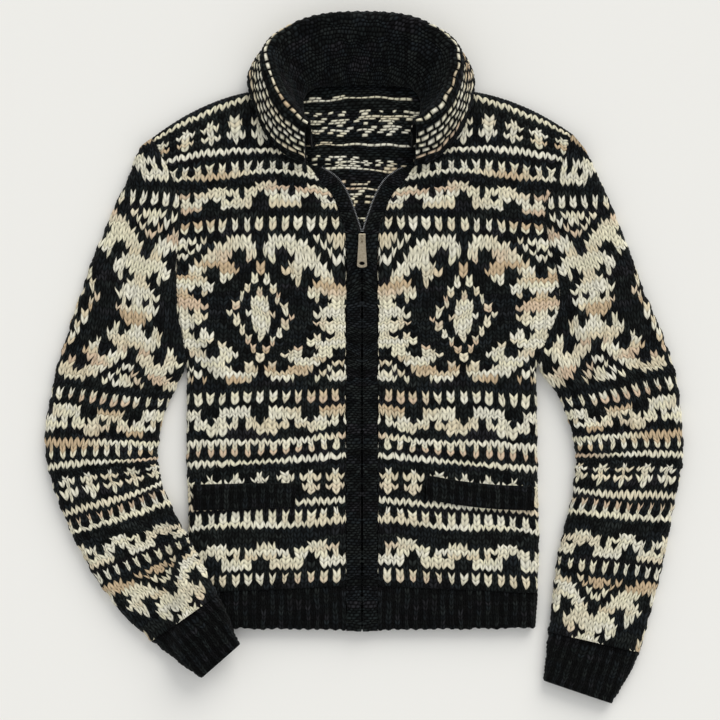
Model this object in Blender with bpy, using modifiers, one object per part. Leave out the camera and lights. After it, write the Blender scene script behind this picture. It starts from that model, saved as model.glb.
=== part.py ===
"""A chunky hand-knit zip cardigan with a folded shawl collar, laid flat on its back.

Run with: blender --background --python part.py
Lengths below are in millimetres; the mesh function turns them into metres.
X runs to the wearer's left, Y towards the collar, Z up. The table is Z = 0.
A cloth piece is a wall between an upper and a lower grid of points. The grids come from short
tables of measured edges: a row of a table is one knitted row of the piece, with the point where
the row starts and the point where it ends.
"""

import math

import bmesh
import bpy
import numpy as np

# ---------------------------------------------------------------- driving sizes, mm
MM = 0.001
FRAME_X = 2.56  # from the zip line to the middle of the garment's box
FRAME_Y = 341.84  # from the hem to the middle of the garment's box
WALL = 7.0  # bulky two-colour knitting: two 3.5 mm strands thick
GAP = 0.3  # between pieces at a seam
EDGE_ROUND = 7.0  # radius at which a side or shoulder turns under
SEAM_ROUND = 2.0  # radius along a sewn edge
SLEEVE_WALL = 6.4
SLEEVE_HIGH = 15.0  # a flat sleeve, both walls
SLEEVE_CROWN = 3.5  # how far the middle of a sleeve stands above its edges
BODY_CROWN = 3.2  # slack of the front over the back
RIB_WALL = 6.0
COLLAR_WALL = 6.0
COLLAR_TURN = 7.5  # radius of the collar's fold
ROW = 6.25  # one knitted row
HEM_DEEP = 50.0
WELT_WALL = 4.0
WELT_STAND = 0.8
ZIP_TAPE_WALL = 1.6
LAP_LIFT = 17.6  # height at which the right cuff crosses the hem

BACK_TOP = WALL
FRONT_LOW = BACK_TOP + GAP
FRONT_TOP = FRONT_LOW + WALL

# Each half of the body, from the zip line outwards: a row of knitting, its inner end and its
# outer end, and how far its middle bows towards the collar. Side +1 is the wearer's left.
BODY_COLUMNS = ("row", "in_x", "in_y", "out_x", "out_y", "bow")
BODY_ROWS = {
    +1: (
        (0, 20, 59, 219, 50, 0),
        (8, 20, 110, 220, 99, 2),
        (16, 20, 163, 220, 145, 2),
        (25, 20, 217, 219, 200, 1),
        (37, 20, 290, 218, 282, 0),
    ),
    -1: (
        (0, 20, 59, 215, 50, 0),
        (8, 20, 110, 216, 100, 1),
        (16, 20, 163, 216, 151, 1),
        (25, 20, 217, 218, 205, 1),
        (37, 20, 290, 218, 284, 0),
    ),
}
# From the underarm to the shoulder tip, where body and sleeve share the armhole seam.
ARMHOLE_COLUMNS = ("row", "sleeve_row", "in_x", "in_y", "out_x", "out_y", "bow")
ARMHOLE = {
    +1: (
        (45, 57, 20, 338, 219, 338, 0),
        (51, 61.5, 20, 368, 233, 372, 0),
        (57, 66.5, 20, 398, 246, 408, 0),
        (64, 72.5, 20, 442, 243, 448, 0),
        (71, 79, 22, 505, 231, 496, 2),
        (77, 84, 35, 541, 229, 532, 5),
        (83, 88, 57, 569, 243, 566, 8),
        (89, 91.5, 75, 603, 253, 596, 12),
        (98, 95, 80, 676, 261, 622, 18),
    ),
    -1: (
        (45, 59.5, 20, 338, 219, 338, 0),
        (51, 64, 20, 368, 224, 372, 0),
        (57, 68.5, 20, 398, 230, 412, 0),
        (64, 74, 20, 442, 231, 452, 0),
        (71, 79.5, 22, 505, 228, 496, 2),
        (77, 84, 35, 541, 226, 534, 5),
        (83, 87.5, 57, 569, 236, 566, 8),
        (89, 91, 75, 603, 248, 592, 12),
        (98, 94.5, 80, 676, 262, 616, 20),
    ),
}
# The sleeves, from the cuff's edge to the underarm: a row, its edge towards the body and its outer
# edge.
SLEEVE_COLUMNS = ("row", "in_x", "in_y", "out_x", "out_y")
SLEEVE_ROWS = {
    +1: (
        (-12, 226, -59, 312, -88),
        (0, 232, 2, 346, -24),
        (6, 237, 42, 357, 16),
        (12, 241, 80, 368, 58),
        (20, 250, 124, 380, 112),
        (27, 261, 168, 388, 158),
        (31.5, 265, 198, 395, 190),
        (37.5, 266, 222, 400, 222),
        (44, 260, 254, 398, 268),
        (51, 246, 292, 392, 318),
    ),
    -1: (
        (-12, 151, -12, 199, -54),
        (0, 178, 50, 262, -10),
        (7, 198, 88, 300, 26),
        (14, 213, 118, 330, 66),
        (21, 228, 142, 354, 108),
        (28, 248, 184, 370, 143),
        (33, 253, 206, 384, 180),
        (38, 254, 220, 392, 210),
        (43, 253, 243, 395, 250),
        (49, 243, 280, 388, 292),
        (54, 231, 307, 382, 324),
    ),
}
ARMHOLE_STEPS = (45, 48, 51, 54, 57, 60.5, 64, 67.5, 71, 74, 77, 80, 83, 86, 89, 93.5, 96.9, 98)
# Outer edge of each sleeve beside the armhole, row by row up to the shoulder tip.
CAP_COLUMNS = ("out_x", "out_y")
CAP_EDGE = {
    +1: (
        (382, 352), (370, 384), (352, 424), (338, 463), (322, 503),
        (308, 538), (297, 562), (288, 582), (279, 600),
    ),
    -1: (
        (369, 366), (359, 398), (347, 432), (334, 470), (316, 512),
        (302, 545), (291, 567), (284, 588), (277, 604),
    ),
}
# Soft folds of the cloth: middle, direction in degrees, half length, half width and height.
FOLD_COLUMNS = ("x", "y", "turn", "long", "wide", "high")
BODY_FOLDS = (
    (196, 352, 62, 46, 11, 7.0),
    (176, 318, 78, 40, 10, 4.0),
    (-192, 360, 112, 48, 11, 7.5),
    (-172, 322, 98, 38, 10, 4.0),
    (150, 560, -34, 60, 16, 2.5),
    (-150, 562, 34, 60, 16, 2.5),
)
SLEEVE_FOLDS = (
    (286, 226, 4, 30, 8, 6.0),
    (280, 196, -14, 34, 8, 4.5),
    (282, 252, 22, 34, 8, 4.0),
    (-276, 214, -2, 34, 8, 6.5),
    (-262, 180, 24, 38, 8, 6.0),
    (-240, 146, 34, 40, 8, 5.5),
    (-250, 118, 38, 44, 8, 4.0),
    (-212, 60, 40, 34, 8, 4.0),
    (-262, 392, 70, 60, 13, 4.0),
    (270, 396, 112, 60, 13, 4.0),
    (-246, 330, 58, 34, 9, 5.0),
    (254, 326, 122, 34, 9, 5.0),
)
# The zip side of each front band, from the hem to under the collar. Rows are the body's.
BAND_COLUMNS = ("row", "x", "y")
BAND_EDGE = (
    (-8, 0.8, 2), (0, 0.8, 59), (16, 0.8, 163), (37, 0.8, 290), (57, 0.8, 398), (66, 0.8, 465),
    (68, 0.8, 480), (71, 3, 501), (74, 9, 520), (77, 17, 542), (80, 28, 562), (83, 41, 573), (87, 59, 582),
)
BAND_TOP_ROW = 86
SLIDER_ROW = 69.5
# The collar on each side, from its front end to the middle of the back: the seam, the outermost
# point of the fold, the free edge of the leaf, and how far the wall rises before it leans out.
COLLAR_COLUMNS = (
    "seam_x", "seam_y", "seam_z", "fold_x", "fold_y", "fold_z", "leaf_x", "leaf_y", "leaf_z", "rise",
)
COLLAR = {
    +1: (
        (60, 606, 7.5, 66, 637, 42, 65, 582, 22, 9),
        (67, 616, 7.5, 82, 646, 47, 88, 590, 22, 9),
        (72, 632, 7.5, 101, 663, 50, 107, 606, 22, 9),
        (75.6, 650, 7.5, 113, 686, 50, 124, 628, 22, 9),
        (75.6, 664, 8.0, 118, 709, 48, 134, 657, 22, 8),
        (69, 676, 9.2, 116, 727, 44, 137, 691, 15, 5),
        (54, 683, 10.4, 99, 746, 40, 120, 716, 7, 2),
        (28, 683.5, 10.4, 58, 766, 37, 62, 714, 3.8, 0.5),
        (0, 683.5, 10.4, 0, 771, 36, 0, 708, 3.4, 0),
    ),
    -1: (
        (60, 606, 7.5, 68, 635, 42, 69, 582, 22, 9),
        (67, 616, 7.5, 80, 645, 47, 90, 593, 22, 9),
        (72, 632, 7.5, 97, 664, 50, 109, 609, 22, 9),
        (75.6, 650, 7.5, 109, 686, 50, 123, 630, 22, 9),
        (75.6, 664, 8.0, 117, 710, 48, 135, 661, 22, 8),
        (69, 676, 9.2, 116, 729, 44, 140, 692, 15, 5),
        (54, 683, 10.4, 98, 748, 40, 121, 717, 7, 2),
        (28, 683.5, 10.4, 58, 766, 37, 62, 714, 3.8, 0.5),
        (0, 683.5, 10.4, 0, 771, 36, 0, 708, 3.4, 0),
    ),
}
# Each pocket welt, from its inner end to its outer end: its lower and upper edge at a distance from
# the zip.
WELT_COLUMNS = ("x", "low_y", "high_y")
WELTS = {
    +1: ((80, 167, 197), (120, 160, 190), (165, 155, 185), (214, 153, 183)),
    -1: ((83, 158, 187), (120, 156, 187), (165, 154, 186), (210, 153, 185)),
}
# Slider and pull of the zip.
SLIDER = {"long": 13.0, "wide": 9.0, "high": 3.2}
PULL = {"long": 36.0, "wide": 12.4, "neck": 8.6, "thick": 1.8}
BAIL = {"wire": 0.9, "arch": 3.7, "clear": 1.4}

COLOURS = {
    "wool_two_colour": ((0.36, 0.33, 0.27), 0.95, 0.0),
    "wool_black": ((0.020, 0.022, 0.024), 0.95, 0.0),
    "zip_tape": ((0.018, 0.018, 0.018), 0.85, 0.0),
    "zip_metal": ((0.42, 0.38, 0.32), 0.35, 1.0),
}


# ---------------------------------------------------------------- small maths
def column(table, names, wanted):
    """One named column of a table as an array."""
    return np.array([row[names.index(wanted)] for row in table], float)


def curve(keys, values, at):
    """A smooth curve through the values at the keys: cubic, with slopes from the neighbours."""
    at = np.clip(np.asarray(at, float), keys[0], keys[-1])
    slope = np.gradient(values, keys)
    i = np.clip(np.searchsorted(keys, at, side="right") - 1, 0, len(keys) - 2)
    span = keys[i + 1] - keys[i]
    t = (at - keys[i]) / span
    return (
        values[i] * (1 + 2 * t) * (1 - t) ** 2
        + slope[i] * span * t * (1 - t) ** 2
        + values[i + 1] * t * t * (3 - 2 * t)
        + slope[i + 1] * span * t * t * (t - 1)
    )


def ridges(x, y, folds):
    """Height of the soft folds at plan points x, y."""
    total = np.zeros_like(x)
    for fold in folds:
        fx, fy, turn, half_long, half_wide, high = fold
        c, s = math.cos(math.radians(turn)), math.sin(math.radians(turn))
        along = (x - fx) * c + (y - fy) * s
        across = -(x - fx) * s + (y - fy) * c
        total += high * np.exp(-((along / half_long) ** 2) - (across / half_wide) ** 2)
    return total


def corner_drop(distance, radius):
    """How far a rounded edge has turned down at a distance in from it."""
    inside = np.clip(radius - distance, 0, radius)
    return radius - np.sqrt(np.maximum(radius**2 - inside**2, 0))


def smooth(x):
    """0 to 1 with level ends."""
    x = np.clip(x, 0, 1)
    return x * x * (3 - 2 * x)


def edge_steps(count, radius, length):
    """Shares of a length, closer together over the last radius of it."""
    turn = length - radius * np.array([1.0, 0.5, 0.15, 0.0])
    return np.concatenate([np.linspace(0, turn[0], count, endpoint=False), turn]) / length


# ---------------------------------------------------------------- meshes
def make_object(name, material, vertices, faces, collection, pivot=(0, 0, 0)):
    """A named mesh object from points in mm, with its origin at the pivot."""
    shift = np.array([FRAME_X, FRAME_Y, 0.0])
    points = (np.asarray(vertices, float) - shift) * MM - np.array(pivot)
    mesh = bpy.data.meshes.new(name)
    mesh.from_pydata(points.tolist(), [], faces)
    bm = bmesh.new()
    bm.from_mesh(mesh)
    bmesh.ops.remove_doubles(bm, verts=bm.verts, dist=0.00002)
    bmesh.ops.dissolve_degenerate(bm, edges=bm.edges, dist=0.00001)
    bmesh.ops.recalc_face_normals(bm, faces=bm.faces)
    bm.to_mesh(mesh)
    bm.free()
    mesh.shade_smooth()
    mesh.set_sharp_from_angle(angle=math.radians(50))
    obj = bpy.data.objects.new(name, mesh)
    obj.location = pivot
    obj.data.materials.append(bpy.data.materials[material])
    collection.objects.link(obj)
    return obj


def wall_between(upper, lower, tube=False):
    """Vertices and faces of the wall between two grids of points. A tube's rows are rings."""
    rows, cols = upper.shape[:2]
    vertices = np.concatenate([upper.reshape(-1, 3), lower.reshape(-1, 3)])
    under = rows * cols
    faces = []
    last = cols if tube else cols - 1
    for i in range(rows - 1):
        for j in range(last):
            k = (j + 1) % cols
            a, b, c, d = i * cols + j, i * cols + k, (i + 1) * cols + k, (i + 1) * cols + j
            faces.append((a, b, c, d))
            faces.append((d + under, c + under, b + under, a + under))
    for i in (0, rows - 1):
        for j in range(last):
            a, b = i * cols + j, i * cols + (j + 1) % cols
            faces.append((a, b, b + under, a + under))
    if not tube:
        for i in range(rows - 1):
            for j in (0, cols - 1):
                a, b = i * cols + j, (i + 1) * cols + j
                faces.append((a, b, b + under, a + under))
    return vertices, faces


def unit(vectors):
    """Vectors of length one."""
    return vectors / np.maximum(np.linalg.norm(vectors, axis=-1, keepdims=True), 1e-9)


def normals_of(grid):
    """Unit normals of a grid of points."""
    return unit(np.cross(np.gradient(grid, axis=1), np.gradient(grid, axis=0)))


# ---------------------------------------------------------------- body
def body_line(side, rows):
    """Inner end, outer end and bow of the body's rows on one side."""
    low, high = BODY_ROWS[side], ARMHOLE[side]
    keys = np.concatenate([column(low, BODY_COLUMNS, "row"), column(high, ARMHOLE_COLUMNS, "row")])
    found = []
    for name in ("in_x", "in_y", "out_x", "out_y", "bow"):
        values = np.concatenate([column(low, BODY_COLUMNS, name), column(high, ARMHOLE_COLUMNS, name)])
        found.append(curve(keys, values, rows))
    return found


def row_steps():
    """Body rows at which a panel is cut into faces. The armhole's are shared with the sleeve."""
    below = np.array([0, 5, 10, 15, 20, 25, 30, 35, 39, 42])
    shoulder = 98 - EDGE_ROUND / ROW * np.array([0.5, 0.15])
    return np.sort(np.concatenate([below, ARMHOLE_STEPS, shoulder]))


def free_edges(side, rows, reach, length):
    """How far the cloth has turned down near the side seam and the shoulder."""
    under_arm = ARMHOLE[side][0][0]
    shoulder = ARMHOLE[side][-1][0]
    is_side = smooth((under_arm + 2 - rows) / 4)
    side_drop = corner_drop(length - reach, SEAM_ROUND + (EDGE_ROUND - SEAM_ROUND) * is_side)
    shoulder_drop = corner_drop((shoulder - rows) * ROW, EDGE_ROUND)
    return np.maximum(side_drop, shoulder_drop)


def front_panel(side, collection):
    """One front: it lies on the back, with slack over the chest and folds by the underarm."""
    rows = row_steps()
    in_x, in_y, out_x, out_y, bow = (v[:, None] for v in body_line(side, rows))
    share = edge_steps(10, EDGE_ROUND, 200.0)[None, :]
    start, end = in_x + GAP, out_x - GAP
    x = start + (end - start) * share
    y = in_y + (out_y - in_y) * share + bow * 4 * share * (1 - share)
    span = out_x - in_x
    drop = free_edges(side, rows[:, None], share * span, span)
    lift = front_lift(side, x, y, rows[:, None], share)
    lower = np.stack([side * x, y, FRONT_LOW + lift], axis=-1)
    upper = np.stack([side * x, y, FRONT_TOP + lift - drop], axis=-1)
    upper[..., 2] = np.maximum(upper[..., 2], lower[..., 2] + GAP)
    name = "front_left" if side > 0 else "front_right"
    return make_object(name, "wool_two_colour", *wall_between(upper, lower), collection)


def front_lift(side, x, y, rows, share):
    """How far the front stands off the back: its slack, and its folds."""
    shoulder = ARMHOLE[side][-1][0]
    fade = smooth((1 - share) / 0.12) * smooth((shoulder - rows) / 6) * smooth(rows / 5)
    slack = BODY_CROWN * np.sin(math.pi * np.clip(share, 0, 1)) ** 0.7
    return fade * (slack + ridges(side * x, y, BODY_FOLDS))


def back_panel(collection):
    """The back: flat on the table, its sides and shoulders turned up to meet the fronts."""
    rows = row_steps()
    halves = []
    for side in (-1, 1):
        in_x, in_y, out_x, out_y, bow = (v[:, None] for v in body_line(side, rows))
        share = edge_steps(7, EDGE_ROUND, 200.0)[None, :]
        x = (out_x - GAP) * share
        along = np.clip((x - in_x) / (out_x - in_x), 0, 1)
        y_in = 505 + (676 - 505) * (rows[:, None] - 71) / 27
        y_in = np.where(rows[:, None] > 71, y_in, in_y)
        y = y_in + (out_y - y_in) * along + bow * 4 * along * (1 - along)
        drop = free_edges(side, rows[:, None], share * out_x, out_x)
        lower = np.stack([side * x, y, np.minimum(drop, BACK_TOP - GAP)], axis=-1)
        upper = np.stack([side * x, y, np.full_like(x, BACK_TOP)], axis=-1)
        halves.append((upper, lower))
    (right_up, right_low), (left_up, left_low) = halves
    upper = np.concatenate([right_up[:, ::-1], left_up[:, 1:]], axis=1)
    lower = np.concatenate([right_low[:, ::-1], left_low[:, 1:]], axis=1)
    return make_object("back", "wool_two_colour", *wall_between(upper, lower), collection)


def hem_front(side, collection):
    """The black rib below one front."""
    in_x, in_y, out_x, out_y, _ = (float(v[0]) for v in body_line(side, np.array([0.0])))
    share = edge_steps(7, EDGE_ROUND, 200.0)[None, :]
    depth = np.array([0.0, 1.0, 0.6 * HEM_DEEP, HEM_DEEP - 2, HEM_DEEP - 0.6, HEM_DEEP])[:, None]
    pull = 1 - 0.012 * smooth(depth / HEM_DEEP)
    x = (in_x + GAP) + (out_x * pull - in_x - 2 * GAP) * share
    y = in_y + (out_y - in_y) * share - GAP - depth * (1.13 - 0.23 * share)
    drop = corner_drop((1 - share) * (out_x - in_x), EDGE_ROUND) + 0 * depth
    drop = np.maximum(drop, corner_drop(HEM_DEEP - depth, SEAM_ROUND) * np.ones_like(share))
    low = np.full_like(x, FRONT_LOW)
    high = np.maximum(FRONT_LOW + RIB_WALL - drop, low + GAP)
    name = "hem_front_left" if side > 0 else "hem_front_right"
    grids = [np.stack([side * x, y, z], axis=-1) for z in (high, low)]
    return make_object(name, "wool_black", *wall_between(*grids), collection)


def hem_back(collection):
    """The black rib below the back."""
    halves = []
    for side in (-1, 1):
        in_x, in_y, out_x, out_y, _ = (float(v[0]) for v in body_line(side, np.array([0.0])))
        share = edge_steps(5, EDGE_ROUND, 200.0)[None, :]
        depth = np.array([0.0, 1.0, 0.6 * HEM_DEEP, HEM_DEEP - 2, HEM_DEEP - 0.6, HEM_DEEP])[:, None]
        pull = 1 - 0.012 * smooth(depth / HEM_DEEP)
        x = (out_x * pull - GAP) * share
        y = in_y + (out_y - in_y) * share - GAP - depth * (1.13 - 0.23 * share)
        drop = corner_drop((1 - share) * out_x, EDGE_ROUND) + 0 * depth
        drop = np.maximum(drop, corner_drop(HEM_DEEP - depth, SEAM_ROUND) * np.ones_like(share))
        low = np.minimum(drop, BACK_TOP - GAP)
        halves.append([np.stack([side * x, y, z], axis=-1) for z in (np.full_like(x, BACK_TOP), low)])
    grids = [np.concatenate([halves[0][k][:, ::-1], halves[1][k][:, 1:]], axis=1) for k in (0, 1)]
    return make_object("hem_back", "wool_black", *wall_between(*grids), collection)


def front_band(side, collection):
    """The black strip along the zip, which turns outwards above the slider."""
    keys = column(BAND_EDGE, BAND_COLUMNS, "row")
    rows = np.array([-8, 0, 10, 20, 30, 42, 54, 64, 67.5, 71, 74, 77, 80, 83, BAND_TOP_ROW])
    zip_x = curve(keys, column(BAND_EDGE, BAND_COLUMNS, "x"), rows)
    zip_y = curve(keys, column(BAND_EDGE, BAND_COLUMNS, "y"), rows)
    in_x, in_y, _, _, _ = body_line(side, np.maximum(rows, 0))
    in_y = np.where(rows < 0, zip_y, in_y)
    share = np.array([0, 0.1, 0.3, 0.5, 0.7, 0.9, 1.0])[None, :]
    x = zip_x[:, None] + (in_x - GAP - zip_x)[:, None] * share
    y = zip_y[:, None] + (in_y - zip_y)[:, None] * share
    belly = 1.2 * np.sin(math.pi * share)
    bottom = np.array([FRONT_LOW] * len(rows))[:, None] + 0 * share
    top = FRONT_LOW + RIB_WALL + 0.8 + belly - corner_drop(share * 18, 1.6)
    top = top + 0 * rows[:, None]
    grids = [np.stack([side * x, y, z], axis=-1) for z in (top, bottom)]
    name = "band_left" if side > 0 else "band_right"
    return make_object(name, "wool_black", *wall_between(*grids), collection)


# ---------------------------------------------------------------- sleeves
def sleeve_line(side, rows):
    """Inner and outer edge of a sleeve at its rows, in plan, measured from the zip line."""
    below, arm, cap = SLEEVE_ROWS[side], ARMHOLE[side], CAP_EDGE[side]
    arm_rows = column(arm, ARMHOLE_COLUMNS, "sleeve_row")
    keys = np.concatenate([column(below, SLEEVE_COLUMNS, "row"), arm_rows])
    ends = {
        "in_x": column(arm, ARMHOLE_COLUMNS, "out_x"),
        "in_y": column(arm, ARMHOLE_COLUMNS, "out_y"),
        "out_x": column(cap, CAP_COLUMNS, "out_x"),
        "out_y": column(cap, CAP_COLUMNS, "out_y"),
    }
    found = []
    for name, above in ends.items():
        values = np.concatenate([column(below, SLEEVE_COLUMNS, name), above])
        found.append(curve(keys, values, rows))
    body_rows = np.interp(rows, arm_rows, column(arm, ARMHOLE_COLUMNS, "row"))
    _, _, seam_x, seam_y, _ = body_line(side, body_rows)
    sewn = rows >= arm_rows[0]
    found[0] = np.where(sewn, seam_x, found[0])
    found[1] = np.where(sewn, seam_y, found[1])
    return found


def body_edge_at(side, y):
    """X of the body's side at a height, for the sleeve that crosses it."""
    rows = np.linspace(0, 45, 40)
    _, _, out_x, out_y, _ = body_line(side, rows)
    return np.interp(y, out_y, out_x)


def lap(side, x, y):
    """How high the sleeve's underside is held by the hem that it crosses."""
    if side > 0:
        return np.zeros_like(x)
    inside = body_edge_at(side, y) + 5 - x
    below_arm = smooth((205 - y) / 60)
    return LAP_LIFT * smooth((inside + 26) / 26) * below_arm


def sleeve_sections(side, rows, wall, high, crown, around):
    """Outer and inner rings of a flat sleeve. A ring runs over the top, then back beneath."""
    in_x, in_y, out_x, out_y = sleeve_line(side, rows)
    under_arm = ARMHOLE[side][0][1]
    at_seam = smooth((rows - under_arm + 2) / 3)
    along = unit(np.stack([out_x - in_x, out_y - in_y], axis=-1))
    start = np.stack([in_x, in_y], axis=-1) + along * (2 * GAP)
    length = np.linalg.norm(np.stack([out_x, out_y], axis=-1) - start, axis=-1)
    outer, inner = [], []
    for i, row in enumerate(rows):
        r_in = EDGE_ROUND + (SEAM_ROUND - EDGE_ROUND) * at_seam[i]
        ring_out = flat_ring(length[i], high, r_in, EDGE_ROUND, 0.0, around)
        slot_high = high - 2 * wall
        ring_in = flat_ring(length[i], slot_high, slot_high / 2, slot_high / 2, wall, around)
        for ring, store, base in ((ring_out, outer, 0.0), (ring_in, inner, wall)):
            q, z, upper = ring
            plan = start[i] + along[i] * q[:, None]
            share = np.clip(q / length[i], 0, 1)
            swell = crown * np.sin(math.pi * share) ** 0.8 * min(1.0, length[i] / 90)
            folds = ridges(side * plan[:, 0], plan[:, 1], SLEEVE_FOLDS)
            folds = folds * smooth(share / 0.1) * smooth((1 - share) / 0.15)
            held = lap(side, plan[:, 0], plan[:, 1])
            height = base + z + (swell + folds) * upper + held
            store.append(np.stack([side * plan[:, 0], plan[:, 1], height], axis=-1))
    return np.array(outer), np.array(inner)


def flat_ring(length, high, r_in, r_out, inset, around):
    """A flattened ring: distance from the inner edge, height, and 1 on its upper half."""
    a, b = inset, length - inset
    mid_q = np.linspace(a + r_in, b - r_out, around)[1:-1]
    top_q = np.concatenate([first_q(a, r_in), mid_q, last_q(b, r_out)])
    top_z = np.concatenate([first_z(high, r_in), np.full(len(mid_q), high), first_z(high, r_out)[::-1]])
    q = np.concatenate([top_q, top_q[::-1]])
    z = np.concatenate([top_z, (high - top_z)[::-1]])
    upper = np.concatenate([np.ones(len(top_q)), np.zeros(len(top_q))])
    return q, z, upper


CORNER = np.radians([4, 42, 90])


def first_q(edge, radius):
    """Distances along a rounded corner that starts at an edge."""
    return edge + radius * (1 - np.cos(CORNER))


def last_q(edge, radius):
    """Distances along a rounded corner that ends at an edge."""
    return (edge - radius * (1 - np.cos(CORNER)))[::-1]


def first_z(high, radius):
    """Heights along a rounded corner, from the middle of the edge to the top."""
    return high - radius + radius * np.sin(CORNER)


def sleeve(side, collection):
    """One sleeve, a flat tube from the cuff to the armhole."""
    armhole = column(ARMHOLE[side], ARMHOLE_COLUMNS, "sleeve_row")
    steps = (0, 4, 8, 11, 14, 17, 20, 22, 24, 26, 28, 30, 32, 34, 36, 38, 40, 42, 45, 48, 51, 54, 57)
    low = np.array(steps)
    above = np.interp(ARMHOLE_STEPS, column(ARMHOLE[side], ARMHOLE_COLUMNS, "row"), armhole)
    rows = np.concatenate([low[low < armhole[0] - 0.5], above])
    outer, inner = sleeve_sections(side, rows, SLEEVE_WALL, SLEEVE_HIGH, SLEEVE_CROWN, 8)
    name = "sleeve_left" if side > 0 else "sleeve_right"
    return make_object(name, "wool_two_colour", *wall_between(outer, inner, tube=True), collection)


def cuff(side, collection):
    """The black rib at the end of a sleeve."""
    rows = np.array([-12, -11.6, -8, -4, -2, -0.1])
    outer, inner = sleeve_sections(side, rows, RIB_WALL, SLEEVE_HIGH - 0.6, 1.6, 7)
    name = "cuff_left" if side > 0 else "cuff_right"
    return make_object(name, "wool_black", *wall_between(outer, inner, tube=True), collection)


# ---------------------------------------------------------------- collar
def collar_tables():
    """The stations of both sides in one run, from the right front end to the left front end."""
    right = np.array(COLLAR[-1], float)
    left = np.array(COLLAR[+1], float)[-2::-1]
    right[:, [0, 3, 6]] *= -1
    return np.concatenate([right, left])


def collar_surface(stations):
    """The middle of the collar's wall: from the neck seam up, over the fold and down."""
    table = collar_tables()
    keys = np.arange(len(table), dtype=float)
    at = np.linspace(0, len(table) - 1, stations)
    got = np.stack([curve(keys, table[:, k], at) for k in range(table.shape[1])], axis=-1)
    seam, fold, leaf, rise = got[:, 0:3], got[:, 3:6], got[:, 6:9], got[:, 9:10]
    up = np.array([0.0, 0.0, 1.0])
    tip = unit(fold - (seam + leaf) / 2)
    out = leaf - seam
    out = unit(out - tip * np.sum(out * tip, axis=1, keepdims=True))
    centre = fold - tip * (COLLAR_TURN + COLLAR_WALL / 2)
    turn = np.radians([-90, -50, -16, 16, 50, 90])
    bend = [centre + (out * math.sin(t) + tip * math.cos(t)) * COLLAR_TURN for t in turn]
    foot = seam + up * rise
    stand = [seam, foot]
    stand += [foot + (bend[0] - foot) * share + up * 2.5 for share in (0.35, 0.7)]
    fall = [bend[-1] + (leaf - bend[-1]) * share + out * 1.5 for share in (0.35, 0.7)]
    fall.append(leaf)
    return np.stack(stand + bend + fall, axis=1)


def collar(collection):
    """The folded collar, open at the front where the zip runs up."""
    middle = collar_surface(stations=27)
    normal = normals_of(middle)
    upper = middle + normal * COLLAR_WALL / 2
    lower = middle - normal * COLLAR_WALL / 2
    return make_object("collar", "wool_black", *wall_between(upper, lower), collection)


# ---------------------------------------------------------------- pockets
def welt(side, collection):
    """The knitted strip that edges a pocket, laid on the front."""
    table = WELTS[side]
    keys = column(table, WELT_COLUMNS, "x")
    x = np.linspace(keys[0], keys[-1], 10)
    low = curve(keys, column(table, WELT_COLUMNS, "low_y"), x)
    high = curve(keys, column(table, WELT_COLUMNS, "high_y"), x)
    share = np.array([0.0, 0.06, 0.3, 0.6, 0.94, 1.0])
    y = low[None, :] + (high - low)[None, :] * share[:, None]
    across = np.broadcast_to(x[None, :], y.shape)
    rows = (y - 59) / ROW
    in_x, _, out_x, _, _ = body_line(side, rows.ravel())
    reach = (across - in_x.reshape(y.shape)) / (out_x - in_x).reshape(y.shape)
    lift = front_lift(side, across, y, rows, reach)
    base = FRONT_TOP + lift + WELT_STAND
    edge = corner_drop(np.minimum(share, 1 - share)[:, None] * 30, 2.0) + 0 * base
    grids = [np.stack([side * across, y, z], axis=-1) for z in (base + WELT_WALL - edge, base)]
    name = "pocket_welt_left" if side > 0 else "pocket_welt_right"
    return make_object(name, "wool_black", *wall_between(*grids), collection)


# ---------------------------------------------------------------- zip
def zip_tape(side, collection):
    """The woven tape with its teeth, along a band's edge above the slider."""
    keys = column(BAND_EDGE, BAND_COLUMNS, "row")
    rows = np.linspace(SLIDER_ROW + 1.6, BAND_TOP_ROW - 0.6, 18)
    x = curve(keys, column(BAND_EDGE, BAND_COLUMNS, "x"), rows)
    y = curve(keys, column(BAND_EDGE, BAND_COLUMNS, "y"), rows)
    run = unit(np.stack([np.gradient(x), np.gradient(y)], axis=-1))
    inward = np.stack([-run[:, 1], run[:, 0]], axis=-1)
    reach = np.minimum(x * 0.8, 3.0)
    edge = np.stack([x, y], axis=-1)
    lines = [edge + inward * (reach * s)[:, None] + inward * GAP for s in (1.0, 0.5, 0.0)]
    plan = np.stack(lines, axis=1)
    low = np.full(plan.shape[:2], FRONT_LOW + 1.4)
    grids = [
        np.concatenate([plan * np.array([side, 1.0]), (low + h)[..., None]], axis=-1)
        for h in (ZIP_TAPE_WALL, 0.0)
    ]
    name = "zip_chain_left" if side > 0 else "zip_chain_right"
    return make_object(name, "zip_metal", *wall_between(*grids), collection)


def slider_place():
    """Plan Y and base height of the slider, in mm, in front of the garment."""
    keys = column(BAND_EDGE, BAND_COLUMNS, "row")
    y = float(curve(keys, column(BAND_EDGE, BAND_COLUMNS, "y"), np.array([SLIDER_ROW]))[0])
    return y, FRONT_LOW + RIB_WALL + 1.65 + GAP


def primitive_box(name, material, centre, size, collection, bevel):
    """A box with bevelled edges, from Blender's cube."""
    place = tuple((c - s) * MM for c, s in zip(centre, (FRAME_X, FRAME_Y, 0.0)))
    bpy.ops.mesh.primitive_cube_add(size=1, location=place)
    obj = bpy.context.active_object
    obj.name = obj.data.name = name
    for vertex in obj.data.vertices:
        vertex.co = [c * s * MM for c, s in zip(vertex.co, size)]
    rounding = obj.modifiers.new("rounded edges", "BEVEL")
    rounding.width = bevel * MM
    rounding.segments = 2
    obj.data.materials.append(bpy.data.materials[material])
    for home in list(obj.users_collection):
        home.objects.unlink(obj)
    collection.objects.link(obj)
    return obj


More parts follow.
